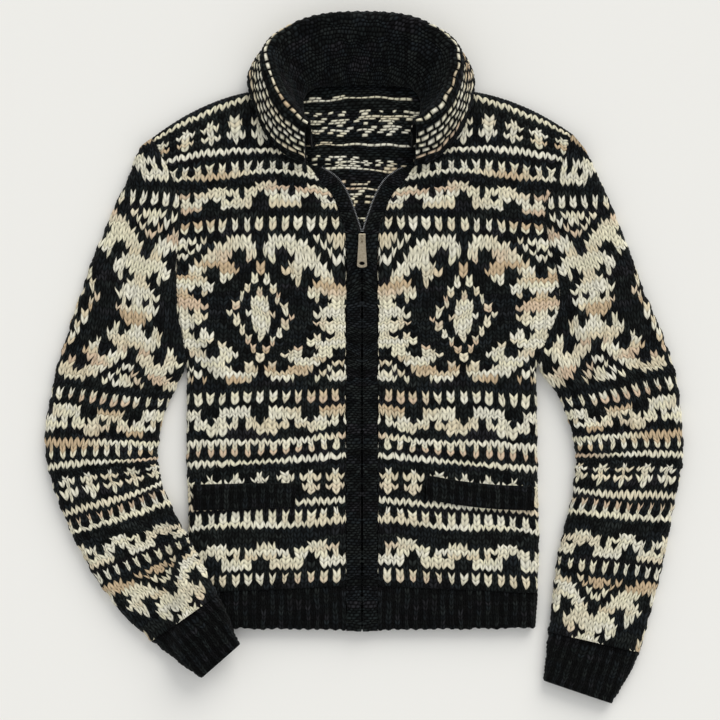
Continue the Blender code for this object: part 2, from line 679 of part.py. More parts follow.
def bail_centre():
    """The middle of the bail's arch, about which the pull turns, in mm."""
    y, z = slider_place()
    return 0.0, y, z + SLIDER["high"] + BAIL["clear"]


def slider(collection):
    """The zip's slider: its body, with the bail that carries the pull as one casting."""
    y, z = slider_place()
    size = (SLIDER["wide"], SLIDER["long"], SLIDER["high"])
    body = primitive_box("zip_slider", "zip_metal", (0.0, y, z + SLIDER["high"] / 2), size, collection, 0.9)
    _, cy, cz = bail_centre()
    radius = BAIL["arch"]
    arch = []
    for angle in np.radians(range(0, 181, 20)):
        arch.append((0.0, cy + radius * math.cos(angle), cz + radius * math.sin(angle)))
    foot = cz - BAIL["clear"] - 1.2
    route = [(0.0, cy + radius, foot)] + arch + [(0.0, cy - radius, foot)]
    bail = wire(route, BAIL["wire"], collection)
    union = body.modifiers.new("bail", "BOOLEAN")
    union.operation = "UNION"
    union.object = bail
    settle(body)
    bpy.data.objects.remove(bail)
    return body


def settle(obj):
    """Turns an object's modifiers into its mesh."""
    bpy.context.view_layer.update()
    mesh = bpy.data.meshes.new_from_object(obj.evaluated_get(bpy.context.evaluated_depsgraph_get()))
    obj.modifiers.clear()
    obj.data = mesh


def solid_from_curve(data, collection):
    """A closed mesh object from a curve."""
    guide = bpy.data.objects.new("guide", data)
    collection.objects.link(guide)
    bpy.context.view_layer.update()
    mesh = bpy.data.meshes.new_from_object(guide.evaluated_get(bpy.context.evaluated_depsgraph_get()))
    bpy.data.objects.remove(guide)
    bm = bmesh.new()
    bm.from_mesh(mesh)
    bmesh.ops.remove_doubles(bm, verts=bm.verts, dist=0.00001)
    bmesh.ops.recalc_face_normals(bm, faces=bm.faces)
    bm.to_mesh(mesh)
    bm.free()
    made = bpy.data.objects.new("made", mesh)
    collection.objects.link(made)
    return made


def wire(route, radius, collection):
    """A round wire along a route of points."""
    data = bpy.data.curves.new("wire", "CURVE")
    data.dimensions = "3D"
    data.bevel_depth = radius * MM
    data.bevel_resolution = 1
    data.use_fill_caps = True
    spline = data.splines.new("POLY")
    spline.points.add(len(route) - 1)
    for point, (x, y, z) in zip(spline.points, route):
        point.co = ((x - FRAME_X) * MM, (y - FRAME_Y) * MM, z * MM, 1)
    return solid_from_curve(data, collection)


def pull(collection):
    """The zip's pull: a long tab with an oval hole, lying from the bail towards the hem."""
    half = PULL["wide"] / 2
    data = bpy.data.curves.new("pull_outline", "CURVE")
    data.dimensions = "2D"
    data.fill_mode = "BOTH"
    data.extrude = PULL["thick"] / 2 * MM
    for loop in pull_outline(half):
        spline = data.splines.new("POLY")
        spline.points.add(len(loop) - 1)
        for point, (x, y) in zip(spline.points, loop):
            point.co = (x * MM, y * MM, 0, 1)
        spline.use_cyclic_u = True
    obj = solid_from_curve(data, collection)
    obj.name = obj.data.name = "zip_pull"
    obj.location = tuple((c - f) * MM for c, f in zip(bail_centre(), (FRAME_X, FRAME_Y, 0.0)))
    obj.data.materials.clear()
    obj.data.materials.append(bpy.data.materials["zip_metal"])
    return obj


def pull_outline(half):
    """The tab's outline, and the two holes in it: the bail's eye and the oval at its end."""
    neck = PULL["neck"] / 2
    eye_y = -BAIL["arch"]
    top = [(neck * math.cos(a), eye_y + 1.0 + 1.6 * math.sin(a)) for a in np.radians(range(0, 181, 30))]
    foot = -PULL["long"]
    end = [(half * math.cos(a), foot + 2.6 + 2.6 * math.sin(a)) for a in np.radians(range(180, 361, 30))]
    eye = oval(0.0, eye_y, BAIL["wire"] + 0.6, BAIL["wire"] + 0.5)
    hole = oval(0.0, foot + 5.4, 3.6, 2.3)
    return [top + end, eye, hole]


def oval(x, y, half_wide, half_long):
    """Points of an oval."""
    angles = np.radians(range(0, 360, 30))
    return [(x + half_wide * math.cos(a), y + half_long * math.sin(a)) for a in angles]


# ---------------------------------------------------------------- the garment
def make_materials():
    """A Principled material for each kind of surface."""
    for name, (colour, roughness, metallic) in COLOURS.items():
        material = bpy.data.materials.new(name)
        material.use_nodes = True
        shader = material.node_tree.nodes["Principled BSDF"]
        shader.inputs["Base Color"].default_value = (*colour, 1)
        shader.inputs["Roughness"].default_value = roughness
        shader.inputs["Metallic"].default_value = metallic


def main():
    """Clears the scene and builds every piece."""
    for obj in list(bpy.data.objects):
        bpy.data.objects.remove(obj)
    parts = bpy.data.collections.new("knit_cardigan")
    bpy.context.scene.collection.children.link(parts)
    make_materials()
    back_panel(parts)
    hem_back(parts)
    for side in (-1, 1):
        front_panel(side, parts)
        hem_front(side, parts)
        front_band(side, parts)
        sleeve(side, parts)
        cuff(side, parts)
        welt(side, parts)
        zip_tape(side, parts)
    collar(parts)
    slider(parts)
    pull(parts)


if __name__ == "__main__":
    main()
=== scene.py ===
"""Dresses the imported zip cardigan: every panel is knitted stitch by stitch over its solid.

Lengths are millimetres in the garment's own plan, with X = 0 on the zip and Y = 0 at the hem, until
a mesh is made. A knitted sheet is a lattice in stitch units: c counts stitches and r counts rows.
A surface class turns (c, r) into points, and a stitch class gives the lattice and its relief.
"""

from __future__ import annotations

import itertools
import logging
import math
from collections.abc import Callable
from dataclasses import dataclass
from enum import Enum

import bmesh
import bpy
import numpy as np
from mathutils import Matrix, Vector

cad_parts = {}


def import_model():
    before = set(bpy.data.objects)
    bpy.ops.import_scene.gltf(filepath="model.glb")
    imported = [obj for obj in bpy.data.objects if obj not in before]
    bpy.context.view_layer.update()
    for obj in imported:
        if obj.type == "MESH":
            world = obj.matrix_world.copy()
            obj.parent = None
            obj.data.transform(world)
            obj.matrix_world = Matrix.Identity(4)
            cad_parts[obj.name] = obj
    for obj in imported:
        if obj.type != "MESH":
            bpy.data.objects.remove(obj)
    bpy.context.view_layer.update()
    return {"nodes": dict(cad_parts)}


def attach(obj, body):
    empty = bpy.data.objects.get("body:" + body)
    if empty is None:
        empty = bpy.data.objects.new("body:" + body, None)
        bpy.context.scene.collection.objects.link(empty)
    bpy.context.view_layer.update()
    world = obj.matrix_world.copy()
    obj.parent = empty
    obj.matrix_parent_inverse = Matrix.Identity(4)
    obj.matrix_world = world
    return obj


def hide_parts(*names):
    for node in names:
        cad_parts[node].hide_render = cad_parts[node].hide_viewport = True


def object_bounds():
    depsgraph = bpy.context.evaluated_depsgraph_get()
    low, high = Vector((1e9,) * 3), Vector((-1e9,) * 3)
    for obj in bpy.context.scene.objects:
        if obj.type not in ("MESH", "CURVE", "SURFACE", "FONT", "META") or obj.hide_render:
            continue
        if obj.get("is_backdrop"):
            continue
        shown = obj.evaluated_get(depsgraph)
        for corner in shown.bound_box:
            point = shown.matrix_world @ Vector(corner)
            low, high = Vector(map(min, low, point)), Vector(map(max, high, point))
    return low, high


LOG = logging.getLogger("cardigan")
Array = np.ndarray

# ------------------------------------------------------------------ driving sizes, mm
MM = 0.001
FRAME_X = 2.56  # from the zip line to the middle of the garment's box
FRAME_Y = 341.84  # from the hem to the middle of the garment's box
ORIGIN = np.array([FRAME_X, FRAME_Y, 0.0])
STITCH = 7.8  # across one stitch of the body
RIB_STITCH = 5.6
ROW = 6.25
WALL = 7.0  # bulky two-colour knitting, two strands thick
GAP = 0.3  # between two pieces that are sewn or lie together
EDGE_ROUND = 7.0
BODY_EDGE = EDGE_ROUND - GAP  # the turn of the fronts and hems at their free sides
SEAM_ROUND = 2.0
SLEEVE_WALL = 6.4
SLEEVE_HIGH = 15.0  # both layers of a sleeve at its sides
SLEEVE_CROWN = 3.5  # how far the slack lifts its middle
BODY_CROWN = 3.2
RIB_WALL = 6.0
HEM_DEEP = 50.0
COLLAR_WALL = 6.0
COLLAR_TURN = 7.5  # radius of the fold, to the middle of the wall
WELT_WALL = 4.0
WELT_STAND = 0.8
LAP_LIFT = 17.6  # how high the hem holds up the sleeve that crosses it
BACK_TOP = WALL
FRONT_LOW = BACK_TOP + GAP
FRONT_TOP = FRONT_LOW + WALL
SHOULDER_ROW = 98
NECK_ROW, NECK_Y = 71, 505  # where the neck's opening starts
NAPE_Y = 676  # the back's upper edge at the middle of the neck
MOTIF_X = 126.25  # from the zip to the middle of each front's medallion
SIDES = ((-1, "right"), (1, "left"))  # the wearer's
RELIEF = 1.7  # from the valley between two strands to their crests
SPOTS_PER_MM = 2000  # vertices that fall on one spot are joined
WAVE_TO_MM = 0.32  # scale of a wave texture with one wave in each unit
DEEP_SHADE = "#0D1112"  # painted shade: yarn at a rim, between two layers, darker than any charcoal
LOOSE_EDGE = 1.1  # how far a free edge swings in and out from row to row


class Table:
    """Rows of numbers under named columns."""

    def __init__(self, names: str, *rows: tuple[float, ...]) -> None:
        """Keeps the numbers."""
        self.names = names.split()
        self.rows = np.array(rows, float)

    def __getitem__(self, name: str) -> Array:
        """Reads the column of that name."""
        return self.rows[:, self.names.index(name)]


# The tables repeat the part's own: a row is a knitted row and where it starts and ends.
BODY_COLUMNS = "row in_x in_y out_x out_y bow"
BODY_ROWS = {
    +1: Table(
        BODY_COLUMNS,
        (0, 20, 59, 219, 50, 0), (8, 20, 110, 220, 99, 2), (16, 20, 163, 220, 145, 2),
        (25, 20, 217, 219, 200, 1), (37, 20, 290, 218, 282, 0),
    ),
    -1: Table(
        BODY_COLUMNS,
        (0, 20, 59, 215, 50, 0), (8, 20, 110, 216, 100, 1), (16, 20, 163, 216, 151, 1),
        (25, 20, 217, 218, 205, 1), (37, 20, 290, 218, 284, 0),
    ),
}
ARMHOLE = {
    +1: Table(
        "row sleeve_row in_x in_y out_x out_y bow",
        (45, 57, 20, 338, 219, 338, 0), (51, 61.5, 20, 368, 233, 372, 0),
        (57, 66.5, 20, 398, 246, 408, 0), (64, 72.5, 20, 442, 243, 448, 0),
        (71, 79, 22, 505, 231, 496, 2), (77, 84, 35, 541, 229, 532, 5), (83, 88, 57, 569, 243, 566, 8),
        (89, 91.5, 75, 603, 253, 596, 12), (98, 95, 80, 676, 261, 622, 18),
    ),
    -1: Table(
        "row sleeve_row in_x in_y out_x out_y bow",
        (45, 59.5, 20, 338, 219, 338, 0), (51, 64, 20, 368, 224, 372, 0),
        (57, 68.5, 20, 398, 230, 412, 0), (64, 74, 20, 442, 231, 452, 0),
        (71, 79.5, 22, 505, 228, 496, 2), (77, 84, 35, 541, 226, 534, 5),
        (83, 87.5, 57, 569, 236, 566, 8), (89, 91, 75, 603, 248, 592, 12),
        (98, 94.5, 80, 676, 262, 616, 20),
    ),
}
SLEEVE_ROWS = {
    +1: Table(
        "row in_x in_y out_x out_y",
        (-12, 226, -59, 312, -88), (0, 232, 2, 346, -24), (6, 237, 42, 357, 16), (12, 241, 80, 368, 58),
        (20, 250, 124, 380, 112), (27, 261, 168, 388, 158), (31.5, 265, 198, 395, 190),
        (37.5, 266, 222, 400, 222), (44, 260, 254, 398, 268), (51, 246, 292, 392, 318),
    ),
    -1: Table(
        "row in_x in_y out_x out_y",
        (-12, 151, -12, 199, -54), (0, 178, 50, 262, -10), (7, 198, 88, 300, 26),
        (14, 213, 118, 330, 66), (21, 228, 142, 354, 108), (28, 248, 184, 370, 143),
        (33, 253, 206, 384, 180), (38, 254, 220, 392, 210), (43, 253, 243, 395, 250),
        (49, 243, 280, 388, 292), (54, 231, 307, 382, 324),
    ),
}
CAP_EDGE = {
    +1: Table(
        "out_x out_y",
        (382, 352), (370, 384), (352, 424), (338, 463), (322, 503), (308, 538), (297, 562), (288, 582),
        (279, 600),
    ),
    -1: Table(
        "out_x out_y",
        (369, 366), (359, 398), (347, 432), (334, 470), (316, 512), (302, 545), (291, 567), (284, 588),
        (277, 604),
    ),
}
# Each fold is its X, Y, turn in degrees, half length, half width and height.
BODY_FOLDS = (
    (196, 352, 62, 46, 11, 7.0), (176, 318, 78, 40, 10, 4.0), (-192, 360, 112, 48, 11, 7.5),
    (-172, 322, 98, 38, 10, 4.0), (150, 560, -34, 60, 16, 2.5), (-150, 562, 34, 60, 16, 2.5),
)
SLEEVE_FOLDS = (
    (286, 226, 4, 30, 8, 6.0), (280, 196, -14, 34, 8, 4.5), (282, 252, 22, 34, 8, 4.0),
    (-276, 214, -2, 34, 8, 6.5), (-262, 180, 24, 38, 8, 6.0), (-240, 146, 34, 40, 8, 5.5),
    (-250, 118, 38, 44, 8, 4.0), (-212, 60, 40, 34, 8, 4.0), (-262, 392, 70, 60, 13, 4.0),
    (270, 396, 112, 60, 13, 4.0), (-246, 330, 58, 34, 9, 5.0), (254, 326, 122, 34, 9, 5.0),
)
BAND_EDGE = Table(
    "row x y",
    (-8, 0.8, 2), (0, 0.8, 59), (16, 0.8, 163), (37, 0.8, 290), (57, 0.8, 398), (66, 0.8, 465),
    (68, 0.8, 480), (71, 3, 501), (74, 9, 520), (77, 17, 542), (80, 28, 562), (83, 41, 573),
    (87, 59, 582),
)
BAND_TOP_ROW = 86  # where the collar covers the bands
SLIDER_ROW = 69.5
COLLAR = {
    +1: Table(
        "seam_x seam_y seam_z fold_x fold_y fold_z leaf_x leaf_y leaf_z rise",
        (60, 606, 7.5, 66, 637, 42, 65, 582, 22, 9), (67, 616, 7.5, 82, 646, 47, 88, 590, 22, 9),
        (72, 632, 7.5, 101, 663, 50, 107, 606, 22, 9), (75.6, 650, 7.5, 113, 686, 50, 124, 628, 22, 9),
        (75.6, 664, 8.0, 118, 709, 48, 134, 657, 22, 8), (69, 676, 9.2, 116, 727, 44, 137, 691, 15, 5),
        (54, 683, 10.4, 99, 746, 40, 120, 716, 7, 2), (28, 683.5, 10.4, 58, 766, 37, 62, 714, 3.8, 0.5),
        (0, 683.5, 10.4, 0, 771, 36, 0, 708, 3.4, 0),
    ),
    -1: Table(
        "seam_x seam_y seam_z fold_x fold_y fold_z leaf_x leaf_y leaf_z rise",
        (60, 606, 7.5, 68, 635, 42, 69, 582, 22, 9), (67, 616, 7.5, 80, 645, 47, 90, 593, 22, 9),
        (72, 632, 7.5, 97, 664, 50, 109, 609, 22, 9), (75.6, 650, 7.5, 109, 686, 50, 123, 630, 22, 9),
        (75.6, 664, 8.0, 117, 710, 48, 135, 661, 22, 8), (69, 676, 9.2, 116, 729, 44, 140, 692, 15, 5),
        (54, 683, 10.4, 98, 748, 40, 121, 717, 7, 2), (28, 683.5, 10.4, 58, 766, 37, 62, 714, 3.8, 0.5),
        (0, 683.5, 10.4, 0, 771, 36, 0, 708, 3.4, 0),
    ),
}
WELTS = {
    +1: Table(
        "x low_y high_y",
        (80, 167, 197), (120, 160, 190), (165, 155, 185), (214, 153, 183),
    ),
    -1: Table(
        "x low_y high_y",
        (83, 158, 187), (120, 156, 187), (165, 154, 186), (210, 153, 185),
    ),
}

# ------------------------------------------------------------------ charted bands
# Each letter is a stitch: X is cream and a dot is charcoal. Rows run from the top down.
WAVE = ("X.....XX", "XXX.XXXX", ".XX.X.XX", "..XXXXX.", "..XXXXX.")
CROSS = ("..X.", ".XXX", "..X.", ".XXX", "..X.")
# The right upper quarter of the medallion, from its middle stitch outwards.
MEDALLION = (
    "..XXXX...X.XX", ".XXXXXXX..X.X", ".XX..XXXX..X.", "..X...XXXX..X", "X....XXXXXX..",
    "X...XXX..XXX.", ".X...XX...XX.", ".X....X..XXXX", "..X.....XXXXX", "X.X.....XX.XX",
    "X..X.....X..X", "XX.X.......XX", "XX..X.....XXX", "XX..X....XXXX", "XXX..X....X.X",
)


class Band(Enum):
    """What one run of rows of the chart shows."""

    TICKS = "ticks"
    STRIPE = "stripe"
    WAVE = "wave"
    WAVE_DOWN = "wave_down"
    CROSSES = "crosses"
    MEDALLION = "medallion"


CHART_ROWS = (
    (1, 3, Band.TICKS), (4, 9, Band.WAVE), (12, 13, Band.STRIPE), (13, 15, Band.TICKS),
    (16, 17, Band.STRIPE), (18, 23, Band.CROSSES), (25, 26, Band.STRIPE), (27, 29, Band.TICKS),
    (29, 30, Band.STRIPE), (31, 36, Band.WAVE_DOWN), (37, 39, Band.TICKS), (41, 70, Band.MEDALLION),
    (71, 73, Band.TICKS), (75, 80, Band.WAVE), (82, 83, Band.STRIPE), (83, 85, Band.TICKS),
    (87, 88, Band.STRIPE), (89, 94, Band.CROSSES), (96, 97, Band.STRIPE),
)
CHART_PERIOD = 70  # rows after which a sleeve repeats the chart
MOTIF_WIDE = 25
SLEEVE_STITCH = 6.9  # a sleeve is knitted a little tighter than the body
SLEEVE_MIDDLE = 11  # the motif's middle lies on the outer fold, this many stitches out


# ------------------------------------------------------------------ small maths
def curve(keys: Array, values: Array, at: Array) -> Array:
    """Runs a smooth cubic through values given at keys.

    Args:
        keys: Rising positions of the values.
        values: The values.
        at: Where to read the curve.

    Returns:
        The curve at those places.
    """
    at = np.clip(np.asarray(at, float), keys[0], keys[-1])
    slope = np.gradient(values, keys)
    i = np.clip(np.searchsorted(keys, at, side="right") - 1, 0, len(keys) - 2)
    span = keys[i + 1] - keys[i]
    t = (at - keys[i]) / span
    return (
        values[i] * (1 + 2 * t) * (1 - t) ** 2
        + slope[i] * span * t * (1 - t) ** 2
        + values[i + 1] * t * t * (3 - 2 * t)
        + slope[i + 1] * span * t * t * (t - 1)
    )


def smooth(x: Array) -> Array:
    """Goes from 0 to 1 with level ends."""
    x = np.clip(x, 0, 1)
    return x * x * (3 - 2 * x)


def unit(vectors: Array) -> Array:
    """Scales vectors to length one."""
    return vectors / np.maximum(np.linalg.norm(vectors, axis=-1, keepdims=True), 1e-9)


def ridges(x: Array, y: Array, folds: tuple) -> Array:
    """Adds up the soft folds of the cloth.

    Args:
        x: Plan X of the points.
        y: Plan Y of the points.
        folds: A table of folds.

    Returns:
        The height of the folds there.
    """
    total = np.zeros(np.broadcast(x, y).shape)
    for fold_x, fold_y, turn, half_long, half_wide, high in folds:
        c, s = math.cos(math.radians(turn)), math.sin(math.radians(turn))
        along = (x - fold_x) * c + (y - fold_y) * s
        across = -(x - fold_x) * s + (y - fold_y) * c
        total += high * np.exp(-((along / half_long) ** 2) - (across / half_wide) ** 2)
    return total


def wander(x: Array, y: Array, size: float, seed: int) -> Array:
    """A smooth uneven field, for hand tension and for yarn colour.

    Args:
        x: First coordinate.
        y: Second coordinate.
        size: About how far apart its hills are.
        seed: Which field.

    Returns:
        Values from about -1 to 1.
    """
    rng = np.random.default_rng(seed)
    total = 0.0
    for _ in range(6):
        angle, phase, pace = rng.uniform(0, 2 * math.pi, 2).tolist() + [rng.uniform(0.6, 1.7)]
        wave = 2 * math.pi / (size * pace)
        total = total + np.sin((x * math.cos(angle) + y * math.sin(angle)) * wave + phase)
    return total / 3.2


def scatter(i: Array, j: Array, seed: int) -> Array:
    """A fixed random number for each stitch."""
    value = np.sin(i * 127.1 + j * 311.7 + seed * 74.7) * 43758.5453
    return value - np.floor(value)


def turned(distance: Array, end: Array, radius: Array) -> tuple[Array, Array]:
    """Follows cloth that turns under at an edge.

    Args:
        distance: How far along the cloth.
        end: Plan position of the edge.
        radius: Radius of the turn.

    Returns:
        The plan position, and how far the cloth has dropped.
    """
    start = end - radius
    angle = np.clip((distance - start) / radius, 0, math.pi / 2)
    past = np.maximum(distance - start - radius * math.pi / 2, 0)
    plan = np.where(distance > start, start + radius * np.sin(angle), distance)
    return plan, radius * (1 - np.cos(angle)) + past


def turned_length(end: Array, radius: Array, drop: float) -> Array:
    """Length of cloth up to a given drop past its edge."""
    return end - radius + radius * math.pi / 2 + np.maximum(drop - radius, 0)


def linear(hex_colour: str) -> tuple[float, float, float]:
    """Turns an sRGB hex colour into linear values."""
    parts = [int(hex_colour[i : i + 2], 16) / 255 for i in (1, 3, 5)]
    return tuple(p / 12.92 if p <= 0.04045 else ((p + 0.055) / 1.055) ** 2.4 for p in parts)


# ------------------------------------------------------------------ yarn and chart
@dataclass(frozen=True)
class Yarn:
    """The colours that a yarn runs through, as dyed and spun."""

    shades: tuple[str, ...]
    run: float = 9.0
    uneven: float = 0.1  # how far a stitch may be lighter or darker than its yarn

    def colours(self, row: Array, col: Array) -> Array:
        """Colour of each stitch.

        Args:
            row: Row of the stitch.
            col: Column of the stitch.

        Returns:
            Linear colours.
        """
        shades = np.array([linear(s) for s in self.shades])
        field_ = wander(col + 37.0 * np.floor(row / 2), row * 3.1, self.run, 5)
        place = np.clip(0.5 + 0.5 * field_, 0, 0.9999) * (len(shades) - 1)
        low = np.floor(place).astype(int)
        share = smooth(place - low)[..., None]
        mixed = shades[low] * (1 - share) + shades[np.minimum(low + 1, len(shades) - 1)] * share
        return mixed * (1 + self.uneven * (2 * scatter(row, col, 3) - 1))[..., None]


CREAM = Yarn(("#D6BD9A", "#EADDBE", "#F3EDD4", "#F5F1DF", "#F4EED1", "#EFE4C8", "#E2C9AC"), 30.0)
CHARCOAL = Yarn(("#0F1313", "#161918", "#111517", "#18181A"), 16.0, 0.75)


@dataclass(frozen=True)
class Chart:
    """The two-colour chart of a knitted piece."""

    start: int = 0
    shift: int = 0

    def cream(self, row: Array, col: Array) -> Array:
        """Says which stitches are cream.

        Args:
            row: Row of the stitch on its piece.
            col: Column of the stitch, 0 at the motif's middle.

        Returns:
            True where the stitch is cream.
        """
        row, col = np.broadcast_arrays(row.astype(int) + self.start, col.astype(int) + self.shift)
        if self.start < 0:
            row = np.where(row < 0, row + CHART_PERIOD, row)
        found = np.zeros(row.shape, bool)
        for low, high, band in CHART_ROWS:
            here = (row >= low) & (row < high)
            found[here] = self.band(band, row[here] - low, col[here], high - low)
        return found

    def band(self, band: Band, row: Array, col: Array, rows: int) -> Array:
        """Reads one band of the chart.

        Args:
            band: Which band.
            row: Row within it.
            col: Column of the stitch.
            rows: How many rows the band has.

        Returns:
            True where the stitch is cream.
        """
        if band is Band.STRIPE:
            return np.ones(row.shape, bool)
        if band is Band.TICKS:
            return col % 2 == 0
        if band in (Band.WAVE, Band.WAVE_DOWN):
            up = row if band is Band.WAVE_DOWN else rows - 1 - row
            return letters(WAVE)[up, col % 8]
        if band is Band.CROSSES:
            return letters(CROSS)[rows - 1 - row, (col + 2) % 4]
        quarter = letters(MEDALLION)
        up = np.abs(row - rows // 2)
        out = np.abs((col + MOTIF_WIDE // 2) % MOTIF_WIDE - MOTIF_WIDE // 2)
        return quarter[quarter.shape[0] - 1 - up, out]


def letters(chart: tuple[str, ...]) -> Array:
    """Turns a chart's letters into true and false."""
    return np.array([[letter == "X" for letter in row] for row in chart])


# ------------------------------------------------------------------ lattices of stitches
@dataclass
class Lattice:
    """A grid over a knitted sheet, in stitches and rows, with its relief and colours."""

    c: Array
    r: Array
    level: Array  # the row coordinate without the legs' slant, used at the sheet's sides
    height: Array
    colour: Array
    strand: Array


class Stitch(Enum):
    """How a sheet is knitted."""

    STOCKINETTE = "stockinette"
    RIB = "rib"
    PURL = "purl"


@dataclass(frozen=True)
class Knitting:
    """Makes the lattice of a sheet: the shape and colour of every stitch."""

    stitch: Stitch
    chart: Chart | None = None
    across: int = 3  # faces across a leg
    up: int = 4  # faces up a row
    rib_depth: float = 0.6  # in reliefs
    floats: bool = False
    dashes: bool = False
    unevenness: float = 1.0
    slant: float = 0.8  # rows that a leg climbs from its foot to its tip

    def lattice(self, *span: float) -> Lattice:
        """Builds the lattice that covers a range of stitches."""
        return self.bumps(*span) if self.stitch is Stitch.PURL else self.vees(*span)

    def vees(self, c_low: float, c_high: float, r_low: float, r_high: float) -> Lattice:
        """Columns of slanted legs, two to a stitch.

        Args:
            c_low: First stitch coordinate.
            c_high: Last stitch coordinate.
            r_low: First row coordinate.
            r_high: Last row coordinate.

        Returns:
            The lattice.
        """
        first, last = math.floor(c_low + 0.5), math.ceil(c_high - 0.5)
        c = np.arange((last - first + 1) * 2 * self.across + 1) / (2 * self.across) + first - 0.5
        bottom, top = math.floor(r_low) - 1, math.ceil(r_high) + 1
        t = np.arange((top - bottom) * self.up + 1) / self.up + bottom
        c, t = np.meshgrid(c, t)
        out = np.abs(c - np.round(c)) * 2
        out = np.where(np.isclose(out, 1) | (out > 1), 1.0, out)
        slant = self.slant * (out - 0.5)
        share = t - np.floor(t)
        round_leg = 0.42 + 0.58 * np.sqrt(np.clip(1 - (2 * share - 1) ** 2, 0, 1))
        to_line = np.minimum(share, 1 - share) / 0.2
        # Pits are dips where the legs meet; through the height they also come out as painted shade.
        pit = np.exp(-((out / 0.24) ** 2) - to_line**2)
        pit = pit + 0.6 * np.exp(-(((1 - out) / 0.2) ** 2) - to_line**2)
        ends = (1 - 0.6 * np.abs(2 * out - 1) ** 2.5) * (1 - 0.9 * pit) if self.across > 1 else 1.0
        row, col = face_cells(t, np.floor), face_cells(c, np.round)
        height = round_leg * ends * (0.84 + 0.16 * scatter(np.floor(t), np.round(c), 9))
        if self.stitch is Stitch.RIB:
            height = height + self.rib_depth * (0.5 + 0.5 * np.cos(math.pi * c)) - self.rib_depth
        strand = np.stack([out * 7.0, t * 3.3], axis=-1)
        return Lattice(c, t + slant, t, height, self.colours(row, col, self.cream(row, col)), strand)

    def bumps(self, c_low: float, c_high: float, r_low: float, r_high: float) -> Lattice:
        """Rows of bumps laid like bricks, two to a row, as on the wrong side.

        Args:
            c_low: First stitch coordinate.
            c_high: Last stitch coordinate.
            r_low: First row coordinate.
            r_high: Last row coordinate.

        Returns:
            The lattice.
        """
        first, last = math.floor(c_low), math.ceil(c_high)
        bottom, top = math.floor(r_low), math.ceil(r_high)
        per_stitch, per_row = 4, 6
        c = np.arange((last - first) * per_stitch + 1) / per_stitch + first
        r = np.arange((top - bottom) * per_row + 1) / per_row + bottom
        c, r = np.meshgrid(c, r)
        line, cell = np.floor(r * 2 + 1e-6), c + 0.5 * (np.floor(r * 2 + 1e-6) % 2)
        up_share, side_share = r * 2 - line, cell - np.floor(cell)
        height = np.sin(math.pi * up_share) ** 0.7 * (0.12 + 0.88 * np.sin(math.pi * side_share) ** 0.6)
        if self.dashes:
            dash = np.abs(np.mod(cell - 0.5 + np.floor(r + 1e-6), 2) - 1)
            long_bump = (1 - smooth((0.9 - dash) / 0.5) * 0.75) * np.sin(math.pi * up_share) ** 0.6
            height = np.where((r > -0.01) & (line % 2 == 0), long_bump, height)
        mid_r, mid_c = face_middle(r), face_middle(c)
        line, row = np.floor(mid_r * 2), np.floor(mid_r)
        col = np.floor(mid_c + 0.5 * (line % 2))
        cream = self.cream(row, col)
        if self.chart is not None:
            own, place = cream, mid_c + 0.5 * (line % 2) - col
            before, after = self.cream(row, col - 1), self.cream(row, col + 1)
            if self.dashes:
                own = own | (np.where(place < 0.5, before, after) & (np.abs(place - 0.5) > 0.3))
            busy = before | after | own
            loose = scatter(line, np.floor(col / 2), 11)
            strands = busy & (~own | (loose > 0.7)) & (loose > 0.22)
            cream = own & (line % 2 == 0)
            if self.floats:
                cream = np.where(line % 2 == 0, own & (loose < 0.9), strands)
        strand = np.stack([c * 7.0, r * 6.5], axis=-1)
        if self.dashes:
            share = r - np.floor(r + 1e-6)
            fat = np.where(share < 0.5, share * 1.36, 0.68 + (share - 0.5) * 0.64)
            r = np.where(r > 0.99, np.floor(r + 1e-6) + fat, r)
        return Lattice(c, r, r, height, self.colours(row, col, cream), strand)

    def cream(self, row: Array, col: Array) -> Array:
        """Says which stitches are cream: none without a chart."""
        return self.chart.cream(row, col) if self.chart else np.zeros(row.shape, bool)

    @staticmethod
    def colours(row: Array, col: Array, cream: Array) -> Array:
        """Colours of the stitches, cream where it says so and charcoal elsewhere."""
        return np.where(cream[..., None], CREAM.colours(row, col), CHARCOAL.colours(row, col))


def face_middle(grid: Array) -> Array:
    """Value at the middle of each face of a grid."""
    return (grid[:-1, :-1] + grid[1:, 1:]) / 2


def face_cells(grid: Array, rounding: Callable[[Array], Array]) -> Array:
    """Which stitch or row each face of a grid belongs to."""
    return rounding(face_middle(grid))


